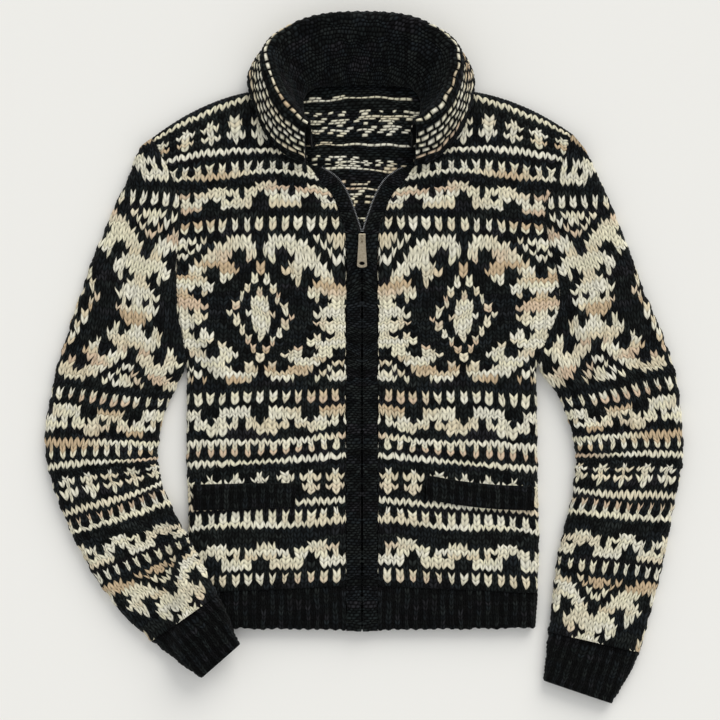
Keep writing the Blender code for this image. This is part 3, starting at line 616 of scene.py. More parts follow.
# ------------------------------------------------------------------ surfaces of the garment
class Surface:
    """A sheet of the garment: points for each stitch and row, and its edges."""

    side: int = 1
    under: bool = False

    def point(self, c: Array, r: Array) -> Array:
        """Plan points and heights of the sheet's outer face.

        Args:
            c: Stitch coordinate.
            r: Row coordinate.

        Returns:
            Points in millimetres.
        """
        raise NotImplementedError

    def inner(self, c: Array, r: Array) -> Array:
        """Points of the sheet's inner face.

        Args:
            c: Stitch coordinate.
            r: Row coordinate.

        Returns:
            Points in millimetres.
        """
        raise NotImplementedError

    def edges(self, r: Array) -> tuple[Array, Array]:
        """Stitch coordinates of the sheet's two sides.

        Args:
            r: Row coordinate.

        Returns:
            The first and the last stitch coordinate on that row.
        """
        raise NotImplementedError

    def rows(self) -> tuple[float, float]:
        """The sheet's first and last row coordinate."""
        raise NotImplementedError

    def row_limits(self, c: Array) -> tuple[Array, Array]:
        """Rows on which the sheet starts and ends at a stitch.

        Args:
            c: Stitch coordinate.

        Returns:
            The first and the last row coordinate there.
        """
        low, high = self.rows()
        return np.full_like(c, low), np.full_like(c, high)

    def normal(self, c: Array, r: Array) -> Array:
        """Unit normals of the outer face.

        Args:
            c: Stitch coordinate.
            r: Row coordinate.

        Returns:
            Normals, pointing away from the cloth.
        """
        step = 0.04
        across = self.point(c + step, r) - self.point(c - step, r)
        rise = self.point(c, r + step) - self.point(c, r - step)
        return unit(np.cross(across, rise)) * self.side * (-1 if self.under else 1)

    def stack(self, x: Array, y: Array, z: Array | float) -> Array:
        """Puts plan places and heights together.

        Args:
            x: Distance from the zip.
            y: Distance from the hem.
            z: Height above the table.

        Returns:
            Points in millimetres.
        """
        return np.stack([self.side * x, y, np.broadcast_to(z, x.shape)], axis=-1)


@dataclass
class BodySurface(Surface):
    """One front, seen from above."""

    side: int
    low: float = FRONT_LOW
    wall: float = WALL

    def line(self, rows: Array) -> list[Array]:
        """Ends of the body's rows.

        Args:
            rows: Row coordinates.

        Returns:
            Inner X and Y, outer X and Y, and bow.
        """
        low, high = BODY_ROWS[self.side], ARMHOLE[self.side]
        keys, *ends = (np.concatenate([low[name], high[name]]) for name in BODY_COLUMNS.split())
        return [curve(keys, values, rows) for values in ends]

    def rounding(self, rows: Array) -> Array:
        """Radius at which the side turns under."""
        free = smooth((ARMHOLE[self.side]["row"][0] + 2 - rows) / 4)
        return SEAM_ROUND + (BODY_EDGE - SEAM_ROUND) * free

    def rows(self) -> tuple[float, float]:
        """The front's first and last row coordinate."""
        return 0.0, SHOULDER_ROW + 0.57 * BODY_EDGE / ROW

    def edges(self, r: Array) -> tuple[Array, Array]:
        """Stitch coordinates of the band's side and of the outer side.

        Args:
            r: Row coordinate.

        Returns:
            The first and the last stitch coordinate on that row.
        """
        plan, _ = turned(r * ROW, SHOULDER_ROW * ROW, BODY_EDGE)
        in_x, _, out_x, _, _ = self.line(plan / ROW)
        radius = self.rounding(r)
        end = turned_length(out_x - GAP, radius, radius)
        return (in_x + GAP - MOTIF_X) / STITCH, (end - MOTIF_X) / STITCH

    def lift(self, x: Array, y: Array, rows: Array, share: Array) -> Array:
        """How far the front stands off the back.

        Args:
            x: Distance from the zip.
            y: Distance from the hem.
            rows: Row coordinate.
            share: Share of the way from the band to the side.

        Returns:
            The height of its slack and folds.
        """
        share = np.clip(share, 0, 1)
        fade = smooth((1 - share) / 0.12) * smooth((SHOULDER_ROW - rows) / 6) * smooth(rows / 5)
        slack = BODY_CROWN * np.sin(math.pi * share) ** 0.7
        return fade * (slack + ridges(self.side * x, y, BODY_FOLDS))

    def plan(self, c: Array, r: Array) -> tuple[Array, ...]:
        """Plan position of a stitch.

        Args:
            c: Stitch coordinate.
            r: Row coordinate.

        Returns:
            X, Y, row in plan, share of the row and drop at the edges.
        """
        flat_row, shoulder = turned(r * ROW, SHOULDER_ROW * ROW, BODY_EDGE)
        rows = flat_row / ROW
        in_x, in_y, out_x, out_y, bow = self.line(rows)
        free = smooth((ARMHOLE[self.side]["row"][0] - rows) / 4)
        out_x = out_x + LOOSE_EDGE * free * wander(rows, 0 * rows, 2.7, 95 + self.side)
        x, side = turned(MOTIF_X + c * STITCH, out_x - GAP, self.rounding(r))
        share = (x - in_x) / (out_x - in_x)
        y = in_y + (out_y - in_y) * share + bow * 4 * share * (1 - share)
        return x, y, rows, share, np.maximum(side, shoulder)

    def point(self, c: Array, r: Array) -> Array:
        """Points of the front's outer face.

        Args:
            c: Stitch coordinate.
            r: Row coordinate.

        Returns:
            Points in millimetres.
        """
        x, y, rows, share, drop = self.plan(c, r)
        inside = smooth(share * 8) * smooth((1 - share) * 8) * smooth(rows / 4) * smooth((97 - rows) / 4)
        y = y + 1.3 * inside * wander(self.side * x, y, 90.0, 21)
        return self.stack(x, y, self.low + self.wall + self.lift(x, y, rows, share) - drop)

    def inner(self, c: Array, r: Array) -> Array:
        """Points of the front's inner face."""
        x, y, rows, share, _ = self.plan(c, r)
        return self.stack(x, y, self.low + self.lift(x, y, rows, share))


@dataclass
class BackSurface(BodySurface):
    """The back, both halves in one sheet, with its outer face on the table."""

    side: int = 1
    under: bool = True

    def edges(self, r: Array) -> tuple[Array, Array]:
        """Stitch coordinates of the wearer's right and left side.

        Args:
            r: Row coordinate.

        Returns:
            The first and the last stitch coordinate on that row.
        """
        ends = []
        for half in (-1, 1):
            _, end = BodySurface(half).edges(r)
            ends.append(half * (end * STITCH + MOTIF_X) / STITCH)
        return ends[0], ends[1]

    def plan(self, c: Array, r: Array) -> tuple[Array, ...]:
        """Plan position of a stitch of the back.

        Args:
            c: Stitch coordinate.
            r: Row coordinate.

        Returns:
            X, Y, row in plan, a share that is always 0, and drop at the edges.
        """
        flat_row, shoulder = turned(r * ROW, SHOULDER_ROW * ROW, BODY_EDGE)
        rows = flat_row / ROW
        found = []
        for half in (-1, 1):
            other = BodySurface(half)
            in_x, in_y, out_x, out_y, bow = other.line(rows)
            x, side = turned(half * c * STITCH, out_x - GAP, other.rounding(r))
            share = np.clip((x - in_x) / (out_x - in_x), 0, 1)
            neck = (rows - NECK_ROW) / (SHOULDER_ROW - NECK_ROW)
            middle = np.where(rows > NECK_ROW, NECK_Y + (NAPE_Y - NECK_Y) * neck, in_y)
            y = middle + (out_y - middle) * share + bow * 4 * share * (1 - share)
            found.append((half * x, y, np.maximum(side, shoulder)))
        (x0, y0, d0), (x1, y1, d1) = found
        left = c > 0
        return np.where(left, x1, x0), np.where(left, y1, y0), rows, c * 0, np.where(left, d1, d0)

    def point(self, c: Array, r: Array) -> Array:
        """Points of the back's outer face, on the table."""
        x, y, _, _, drop = self.plan(c, r)
        return self.stack(x, y, np.minimum(drop, BACK_TOP - GAP))

    def inner(self, c: Array, r: Array) -> Array:
        """Points of the back's inner face."""
        x, y, _, _, _ = self.plan(c, r)
        return self.stack(x, y, BACK_TOP)


@dataclass
class NeckFloats(BackSurface):
    """The wrong side of the back, where it shows in the neck."""

    def rows(self) -> tuple[float, float]:
        """The rows that show between the collar and the zip."""
        return 66.0, SHOULDER_ROW + 1.4

    def edges(self, r: Array) -> tuple[Array, Array]:
        """The stitches that show there."""
        return np.full_like(r, -11.0), np.full_like(r, 11.0)

    def point(self, c: Array, r: Array) -> Array:
        """Points just above the back's inner face.

        Args:
            c: Stitch coordinate.
            r: Row coordinate.

        Returns:
            Points in millimetres.
        """
        found = BackSurface.inner(self, c, np.minimum(r, SHOULDER_ROW - 0.6))
        found[..., 1] += np.maximum(r - SHOULDER_ROW + 0.6, 0) * ROW
        found[..., 2] += 1.0
        return found

    def normal(self, c: Array, r: Array) -> Array:
        """Normals, upwards."""
        return np.broadcast_to(np.array([0.0, 0.0, 1.0]), c.shape + (3,))


@dataclass
class HemSurface(Surface):
    """The ribbed hem below one front."""

    side: int
    pitch: float = RIB_STITCH
    low: float = FRONT_LOW
    wall: float = RIB_WALL

    def __post_init__(self) -> None:
        """Reads where the hem joins the front."""
        found = BodySurface(self.side).line(np.array([0.0]))
        self.in_x, self.in_y, self.out_x, self.out_y = (float(v[0]) for v in found[:4])

    def rows(self) -> tuple[float, float]:
        """From the hem's lower edge up to the front."""
        return -HEM_DEEP / ROW, -0.02

    def row_limits(self, c: Array) -> tuple[Array, Array]:
        """The lower edge swings in and out with the ribs.

        Args:
            c: Stitch coordinate.

        Returns:
            The first and the last row coordinate there.
        """
        low, high = self.rows()
        wave = 0.16 * (1 - np.cos(math.pi * c)) + 0.16 * (1 + wander(c, 0 * c, 7.0, 71))
        return low + wave, np.full_like(c, high)

    def edges(self, r: Array) -> tuple[Array, Array]:
        """Stitch coordinates of the hem's two sides.

        Args:
            r: Row coordinate.

        Returns:
            The first and the last stitch coordinate on that row.
        """
        pull = 1 - 0.012 * smooth(-r * ROW / HEM_DEEP)
        end = turned_length(self.out_x * pull - GAP, BODY_EDGE, BODY_EDGE)
        return np.full_like(r, (self.in_x + GAP) / self.pitch), end / self.pitch

    def place(self, c: Array, r: Array) -> tuple[Array, Array, Array]:
        """Plan position and drop of a stitch of the hem.

        Args:
            c: Stitch coordinate.
            r: Row coordinate.

        Returns:
            X, Y and drop.
        """
        depth = -r * ROW
        pull = 1 - 0.012 * smooth(depth / HEM_DEEP)
        x, drop = turned(c * self.pitch, self.out_x * pull - GAP, BODY_EDGE)
        share = (x - self.in_x) / (self.out_x - self.in_x)
        y = self.in_y + (self.out_y - self.in_y) * share - GAP - depth * (1.13 - 0.23 * share)
        return x, y, drop

    def point(self, c: Array, r: Array) -> Array:
        """Points of the hem's outer face.

        Args:
            c: Stitch coordinate.
            r: Row coordinate.

        Returns:
            Points in millimetres.
        """
        x, y, drop = self.place(c, r)
        round_end = np.maximum(2.0 - (HEM_DEEP + r * ROW), 0)
        drop = np.maximum(drop * (RIB_WALL / EDGE_ROUND), round_end**2 / 2.2)
        swell = 0.8 * np.sin(math.pi * np.clip(-r * ROW / HEM_DEEP, 0, 1)) * smooth(x / 30)
        return self.stack(x, y, self.low + self.wall - drop + swell)

    def inner(self, c: Array, r: Array) -> Array:
        """Points of the hem's inner face."""
        x, y, _ = self.place(c, r)
        return self.stack(x, y, self.low)


@dataclass
class HemBackSurface(HemSurface):
    """The ribbed hem below the back, with its outer face on the table."""

    side: int = 1
    under: bool = True

    def halves(self) -> tuple[HemSurface, HemSurface]:
        """The hem's two halves, which share the zip line."""
        return HemSurface(-1), HemSurface(1)

    def edges(self, r: Array) -> tuple[Array, Array]:
        """Stitch coordinates of both sides."""
        right, left = self.halves()
        return -right.edges(r)[1], left.edges(r)[1]

    def both(self, c: Array, r: Array) -> tuple[Array, Array, Array]:
        """Plan position and drop on either half.

        Args:
            c: Stitch coordinate.
            r: Row coordinate.

        Returns:
            X, Y and drop.
        """
        right, left = self.halves()
        x0, y0, d0 = right.place(-c, r)
        x1, y1, d1 = left.place(c, r)
        return np.where(c > 0, x1, -x0), np.where(c > 0, y1, y0), np.where(c > 0, d1, d0)

    def point(self, c: Array, r: Array) -> Array:
        """Points of the outer face, on the table."""
        x, y, drop = self.both(c, r)
        return self.stack(x, y, np.minimum(drop, BACK_TOP - GAP))

    def inner(self, c: Array, r: Array) -> Array:
        """Points of the inner face."""
        x, y, _ = self.both(c, r)
        return self.stack(x, y, BACK_TOP)


@dataclass
class BandSurface(Surface):
    """The garter-knitted strip along the zip."""

    side: int
    stitches: int = 3

    def rows(self) -> tuple[float, float]:
        """From the hem's lower edge to under the collar."""
        return -8.0, float(BAND_TOP_ROW)

    def edges(self, r: Array) -> tuple[Array, Array]:
        """The band is the same number of stitches wide all along."""
        return np.zeros_like(r), np.full_like(r, float(self.stitches))

    def place(self, c: Array, r: Array) -> tuple[Array, Array, Array]:
        """Plan position of a stitch, and its share of the band's width.

        Args:
            c: Stitch coordinate.
            r: Row coordinate.

        Returns:
            X, Y and the share.
        """
        zip_x, zip_y = (curve(BAND_EDGE["row"], BAND_EDGE[name], r) for name in "xy")
        in_x, in_y, _, _, _ = BodySurface(self.side).line(np.maximum(r, 0))
        in_y = np.where(r < 0, zip_y, in_y)
        share = c / self.stitches
        return zip_x + (in_x - GAP - zip_x) * share, zip_y + (in_y - zip_y) * share, share

    def point(self, c: Array, r: Array) -> Array:
        """Points of the band's outer face.

        Args:
            c: Stitch coordinate.
            r: Row coordinate.

        Returns:
            Points in millimetres.
        """
        x, y, share = self.place(c, r)
        inside = np.clip(1.6 - share * 18, 0, 1.6)
        drop = 1.6 - np.sqrt(1.6**2 - inside**2)
        z = FRONT_LOW + RIB_WALL + 0.8 + 1.2 * np.sin(math.pi * np.clip(share, 0, 1)) - drop
        return self.stack(x, y, z)

    def inner(self, c: Array, r: Array) -> Array:
        """Points of the band's inner face."""
        x, y, _ = self.place(c, r)
        return self.stack(x, y, FRONT_LOW)


@dataclass
class WeltSurface(Surface):
    """The strip that edges a pocket."""

    side: int
    pitch: float = RIB_STITCH
    courses: float = 5.0  # rows of rib across the strip
    edge: float = 2.0

    def rows(self) -> tuple[float, float]:
        """Across the strip."""
        return 0.0, self.courses

    def edges(self, r: Array) -> tuple[Array, Array]:
        """Ends of the strip."""
        x = WELTS[self.side]["x"]
        return np.full_like(r, x[0] / self.pitch), np.full_like(r, x[-1] / self.pitch)

    def place(self, c: Array, r: Array) -> tuple[Array, Array, Array]:
        """Plan position and base height of a stitch of the strip.

        Args:
            c: Stitch coordinate.
            r: Row coordinate.

        Returns:
            X, Y and the base.
        """
        table, x = WELTS[self.side], c * self.pitch
        low, high = (curve(table["x"], table[name], x) for name in ("low_y", "high_y"))
        y = low + (high - low) * r / self.courses
        body = BodySurface(self.side)
        rows = (y - BODY_ROWS[self.side]["in_y"][0]) / ROW
        in_x, _, out_x, _, _ = body.line(rows)
        lift = body.lift(x, y, rows, (x - in_x) / (out_x - in_x))
        return x, y, FRONT_TOP + lift + WELT_STAND

    def point(self, c: Array, r: Array) -> Array:
        """Points of the strip's outer face.

        Args:
            c: Stitch coordinate.
            r: Row coordinate.

        Returns:
            Points in millimetres.
        """
        x, y, base = self.place(c, r)
        share = np.clip(r / self.courses, 0, 1)
        inside = np.clip(self.edge - np.minimum(share, 1 - share) * 30, 0, self.edge)
        drop = self.edge - np.sqrt(self.edge**2 - inside**2)
        return self.stack(x, y, base + WELT_WALL - drop)

    def inner(self, c: Array, r: Array) -> Array:
        """Points of the strip's inner face."""
        x, y, base = self.place(c, r)
        return self.stack(x, y, base)


@dataclass
class SleeveSurface(Surface):
    """The upper or lower half of a sleeve's tube."""

    side: int
    under: bool = False
    first: float = 0.0
    last: float | None = None
    high: float = SLEEVE_HIGH
    wall: float = SLEEVE_WALL
    crown: float = SLEEVE_CROWN
    pitch: float = STITCH

    def rows(self) -> tuple[float, float]:
        """First and last row of the tube."""
        top = float(ARMHOLE[self.side]["sleeve_row"][-1])
        return self.first, top if self.last is None else self.last

    def line(self, rows: Array) -> list[Array]:
        """Plan ends of the sleeve's rows, measured from the zip.

        Args:
            rows: Row coordinates.

        Returns:
            Inner X and Y, outer X and Y.
        """
        below, arm, cap = SLEEVE_ROWS[self.side], ARMHOLE[self.side], CAP_EDGE[self.side]
        keys = np.concatenate([below["row"], arm["sleeve_row"]])
        above = {"in_x": arm["out_x"], "in_y": arm["out_y"], "out_x": cap["out_x"], "out_y": cap["out_y"]}
        found = [curve(keys, np.concatenate([below[name], top]), rows) for name, top in above.items()]
        body_rows = np.interp(rows, arm["sleeve_row"], arm["row"])
        _, _, seam_x, seam_y, _ = BodySurface(self.side).line(body_rows)
        sewn = rows >= arm["sleeve_row"][0]
        found[0], found[1] = np.where(sewn, seam_x, found[0]), np.where(sewn, seam_y, found[1])
        return found

    def frame(self, rows: Array) -> tuple[Array, Array, Array, Array]:
        """Middle and direction of a row, its half width, and its inner edge's rounding.

        Args:
            rows: Row coordinates.

        Returns:
            The four of them, in that order.
        """
        in_x, in_y, out_x, out_y = self.line(rows)
        start, end = np.stack([in_x, in_y], axis=-1), np.stack([out_x, out_y], axis=-1)
        along = unit(end - start)
        at_seam = smooth((rows - ARMHOLE[self.side]["sleeve_row"][0] + 2) / 3)
        swing = LOOSE_EDGE * wander(rows, 0 * rows, 2.7, 91 + self.side)
        start = start + along * (2 * GAP - swing * (1 - at_seam))[..., None]
        end = end + along * (LOOSE_EDGE * wander(rows, 0 * rows, 2.7, 93 + self.side))[..., None]
        half = np.linalg.norm(end - start, axis=-1) / 2
        inner_round = self.high / 2 + (SEAM_ROUND - self.high / 2) * at_seam
        return (start + end) / 2, along, half, inner_round

    def edges(self, r: Array) -> tuple[Array, Array]:
        """Stitch coordinates at which the tube's upper and lower halves meet.

        Args:
            r: Row coordinate.

        Returns:
            The first and the last stitch coordinate on that row.
        """
        _, _, half, inner_round = self.frame(r)
        inner_end = turned_length(half, inner_round, self.high / 2)
        outer_end = turned_length(half, self.high / 2, self.high / 2)
        return -inner_end / self.pitch, outer_end / self.pitch

    def surface(self, c: Array, r: Array, inset: float) -> Array:
        """Points of the tube's outer or inner face.

        Args:
            c: Stitch coordinate.
            r: Row coordinate.
            inset: How far inside the outer face.

        Returns:
            Points in millimetres.
        """
        middle, along, half, inner_round = self.frame(r)
        d = c * self.pitch
        to_out, drop_out = turned(np.maximum(d, 0), half, np.full_like(half, self.high / 2))
        to_in, drop_in = turned(np.maximum(-d, 0), half, inner_round)
        reach = np.where(d > 0, to_out, -to_in)
        drop = np.minimum(np.where(d > 0, drop_out, drop_in), self.high / 2)
        flat_half = self.high / 2 - inset
        squeeze = (half - inset) / half if inset else 1.0
        plan = middle + along * (reach * squeeze)[..., None]
        share = np.clip((reach + half) / (2 * half), 0, 1)
        rise = (self.high / 2 - drop) * flat_half / (self.high / 2)
        x, y = plan[..., 0], plan[..., 1]
        held = self.held(x, y)
        if self.under:
            return self.stack(x, y, self.high / 2 - rise + held)
        swell = self.crown * np.sin(math.pi * share) ** 0.8
        folds = ridges(self.side * x, y, SLEEVE_FOLDS) * smooth(share / 0.1) * smooth((1 - share) / 0.15)
        return self.stack(x, y, self.high / 2 + rise + (swell + folds) + held)

    def held(self, x: Array, y: Array) -> Array:
        """How high the hem holds up the sleeve that crosses it.

        Args:
            x: Distance from the zip.
            y: Distance from the hem.

        Returns:
            The lift of the sleeve's underside.
        """
        if self.side > 0:
            return np.zeros_like(x)
        rows = np.linspace(0, 45, 40)
        _, _, out_x, out_y, _ = BodySurface(self.side).line(rows)
        inside = np.interp(y, out_y, out_x) + 5 - x
        return LAP_LIFT * smooth((inside + 26) / 26) * smooth((205 - y) / 60)

    def point(self, c: Array, r: Array) -> Array:
        """Points of the tube's outer face."""
        return self.surface(c, r, 0.0)

    def inner(self, c: Array, r: Array) -> Array:
        """Points of the tube's inner face."""
        return self.surface(c, r, self.wall)


class CollarSurface(Surface):
    """The folded collar, from the neck seam up over the fold to the leaf's edge."""

    stations = 240
    steps = 90
    leaf_rows = 8
    pitch = 5.3
    row_pitch = 9.4

    def __init__(self) -> None:
        """Makes a dense grid of the collar's middle, with its distances."""
        right, left = COLLAR[-1].rows.copy(), COLLAR[+1].rows[-2::-1]
        right[:, [0, 3, 6]] *= -1
        table = np.concatenate([right, left])
        keys = np.arange(len(table), dtype=float)
        at = np.linspace(0, len(table) - 1, self.stations)
        got = np.stack([curve(keys, table[:, k], at) for k in range(table.shape[1])], axis=-1)
        seam, fold, leaf, rise = got[:, 0:3], got[:, 3:6], got[:, 6:9], got[:, 9:10]
        up = np.array([0.0, 0.0, 1.0])
        tip = unit(fold - (seam + leaf) / 2)
        out = leaf - seam
        out = unit(out - tip * np.sum(out * tip, axis=1, keepdims=True))
        centre = fold - tip * (COLLAR_TURN + COLLAR_WALL / 2)
        turn = np.radians([-90, -50, -16, 16, 50, 90])
        bend = [centre + (out * math.sin(t) + tip * math.cos(t)) * COLLAR_TURN for t in turn]
        foot = seam + up * rise
        stand = [seam, foot] + [foot + (bend[0] - foot) * s + up * 2.5 for s in (0.35, 0.7)]
        fall = [bend[-1] + (leaf - bend[-1]) * s + out * o for s, o in ((0.35, 1.5), (0.7, 1.5), (1.0, 0.0))]
        knots = np.stack(stand + bend + fall, axis=1)
        knots[:, 1] += (knots[:, 2] - knots[:, 0]) * 0.02
        steps = np.maximum(np.linalg.norm(np.diff(knots, axis=1), axis=2), 0.3)
        places = np.concatenate([np.zeros((self.stations, 1)), np.cumsum(steps, axis=1)], axis=1)
        fine = np.linspace(0, 1, self.steps)
        self.grid = np.zeros((self.stations, self.steps, 3))
        for i in range(self.stations):
            for k in range(3):
                self.grid[i, :, k] = curve(places[i], knots[i, :, k], fine * places[i, -1])
        self.normals = unit(np.cross(np.gradient(self.grid, axis=0), np.gradient(self.grid, axis=1)))
        self.crest = places[:, 6:8].mean(axis=1)
        self.length = places[:, -1]
        run = np.linalg.norm(np.diff(fold, axis=0), axis=1)
        self.along = np.concatenate([[0], np.cumsum(run)])

    def rows(self) -> tuple[float, float]:
        """From the deepest neck seam to the leaf's edge, 0 on the fold."""
        return -float(self.crest.max()) / self.row_pitch, float(self.leaf_rows)

    def across(self) -> tuple[float, float]:
        """First and last stitch along the fold."""
        return 0.0, float(self.along[-1]) / self.pitch

    def edges(self, r: Array) -> tuple[Array, Array]:
        """The collar is the same number of stitches long on every row."""
        low, high = self.across()
        return np.full_like(r, low), np.full_like(r, high)

    def row_limits(self, c: Array) -> tuple[Array, Array]:
        """Rows of the neck seam and of the leaf's edge at a stitch."""
        crest = np.interp(c * self.pitch, self.along, self.crest)
        return -crest / self.row_pitch, np.full_like(c, float(self.leaf_rows))

    def middle(self, c: Array, r: Array) -> tuple[Array, Array]:
        """Points and normals of the middle of the collar's wall.

        Args:
            c: Stitch coordinate.
            r: Row coordinate.

        Returns:
            The points and the unit normals.
        """
        station = np.interp(c * self.pitch, self.along, np.arange(self.stations))
        crest = np.interp(station, np.arange(self.stations), self.crest)
        length = np.interp(station, np.arange(self.stations), self.length)
        place = np.where(r < 0, crest + r * self.row_pitch, crest + (length - crest) * r / self.leaf_rows)
        step = np.clip(place / length, 0, 1) * (self.steps - 1)
        i = np.clip(np.floor(station).astype(int), 0, self.stations - 2)
        j = np.clip(np.floor(step).astype(int), 0, self.steps - 2)
        u, v = (station - i)[..., None], (step - j)[..., None]
        found = []
        for source in (self.grid, self.normals):
            low = source[i, j] * (1 - v) + source[i, j + 1] * v
            high = source[i + 1, j] * (1 - v) + source[i + 1, j + 1] * v
            found.append(low * (1 - u) + high * u)
        return found[0], unit(found[1])

    def point(self, c: Array, r: Array) -> Array:
        """Points of the side that shows: the facing, and the leaf's outside."""
        middle, normal = self.middle(c, r)
        return middle + normal * COLLAR_WALL / 2

    def inner(self, c: Array, r: Array) -> Array:
        """Points of the side within the fold."""
        middle, normal = self.middle(c, r)
        return middle - normal * COLLAR_WALL / 2

    def normal(self, c: Array, r: Array) -> Array:
        """Normals of the side that shows."""
        return self.middle(c, r)[1]


@dataclass(frozen=True)
class LeafChart(Chart):
    """Cream dashes on the collar's leaf, in rows along the fold."""

    stitches: float = 0.0
    front: int = 30  # stitches from each front end over which the fold itself is dashed

    def cream(self, row: Array, col: Array) -> Array:
        """Every second stitch of a leaf row, none on the facing.

        Args:
            row: Row of the stitch.
            col: Column of the stitch.

        Returns:
            True where the stitch is cream.
        """
        at_front = (col < self.front) | (col > self.stitches - self.front)
        rows = ((row == 0) & at_front) | ((row >= 2) & (row <= 6))
        return rows & ((col + row) % 2 == 0)


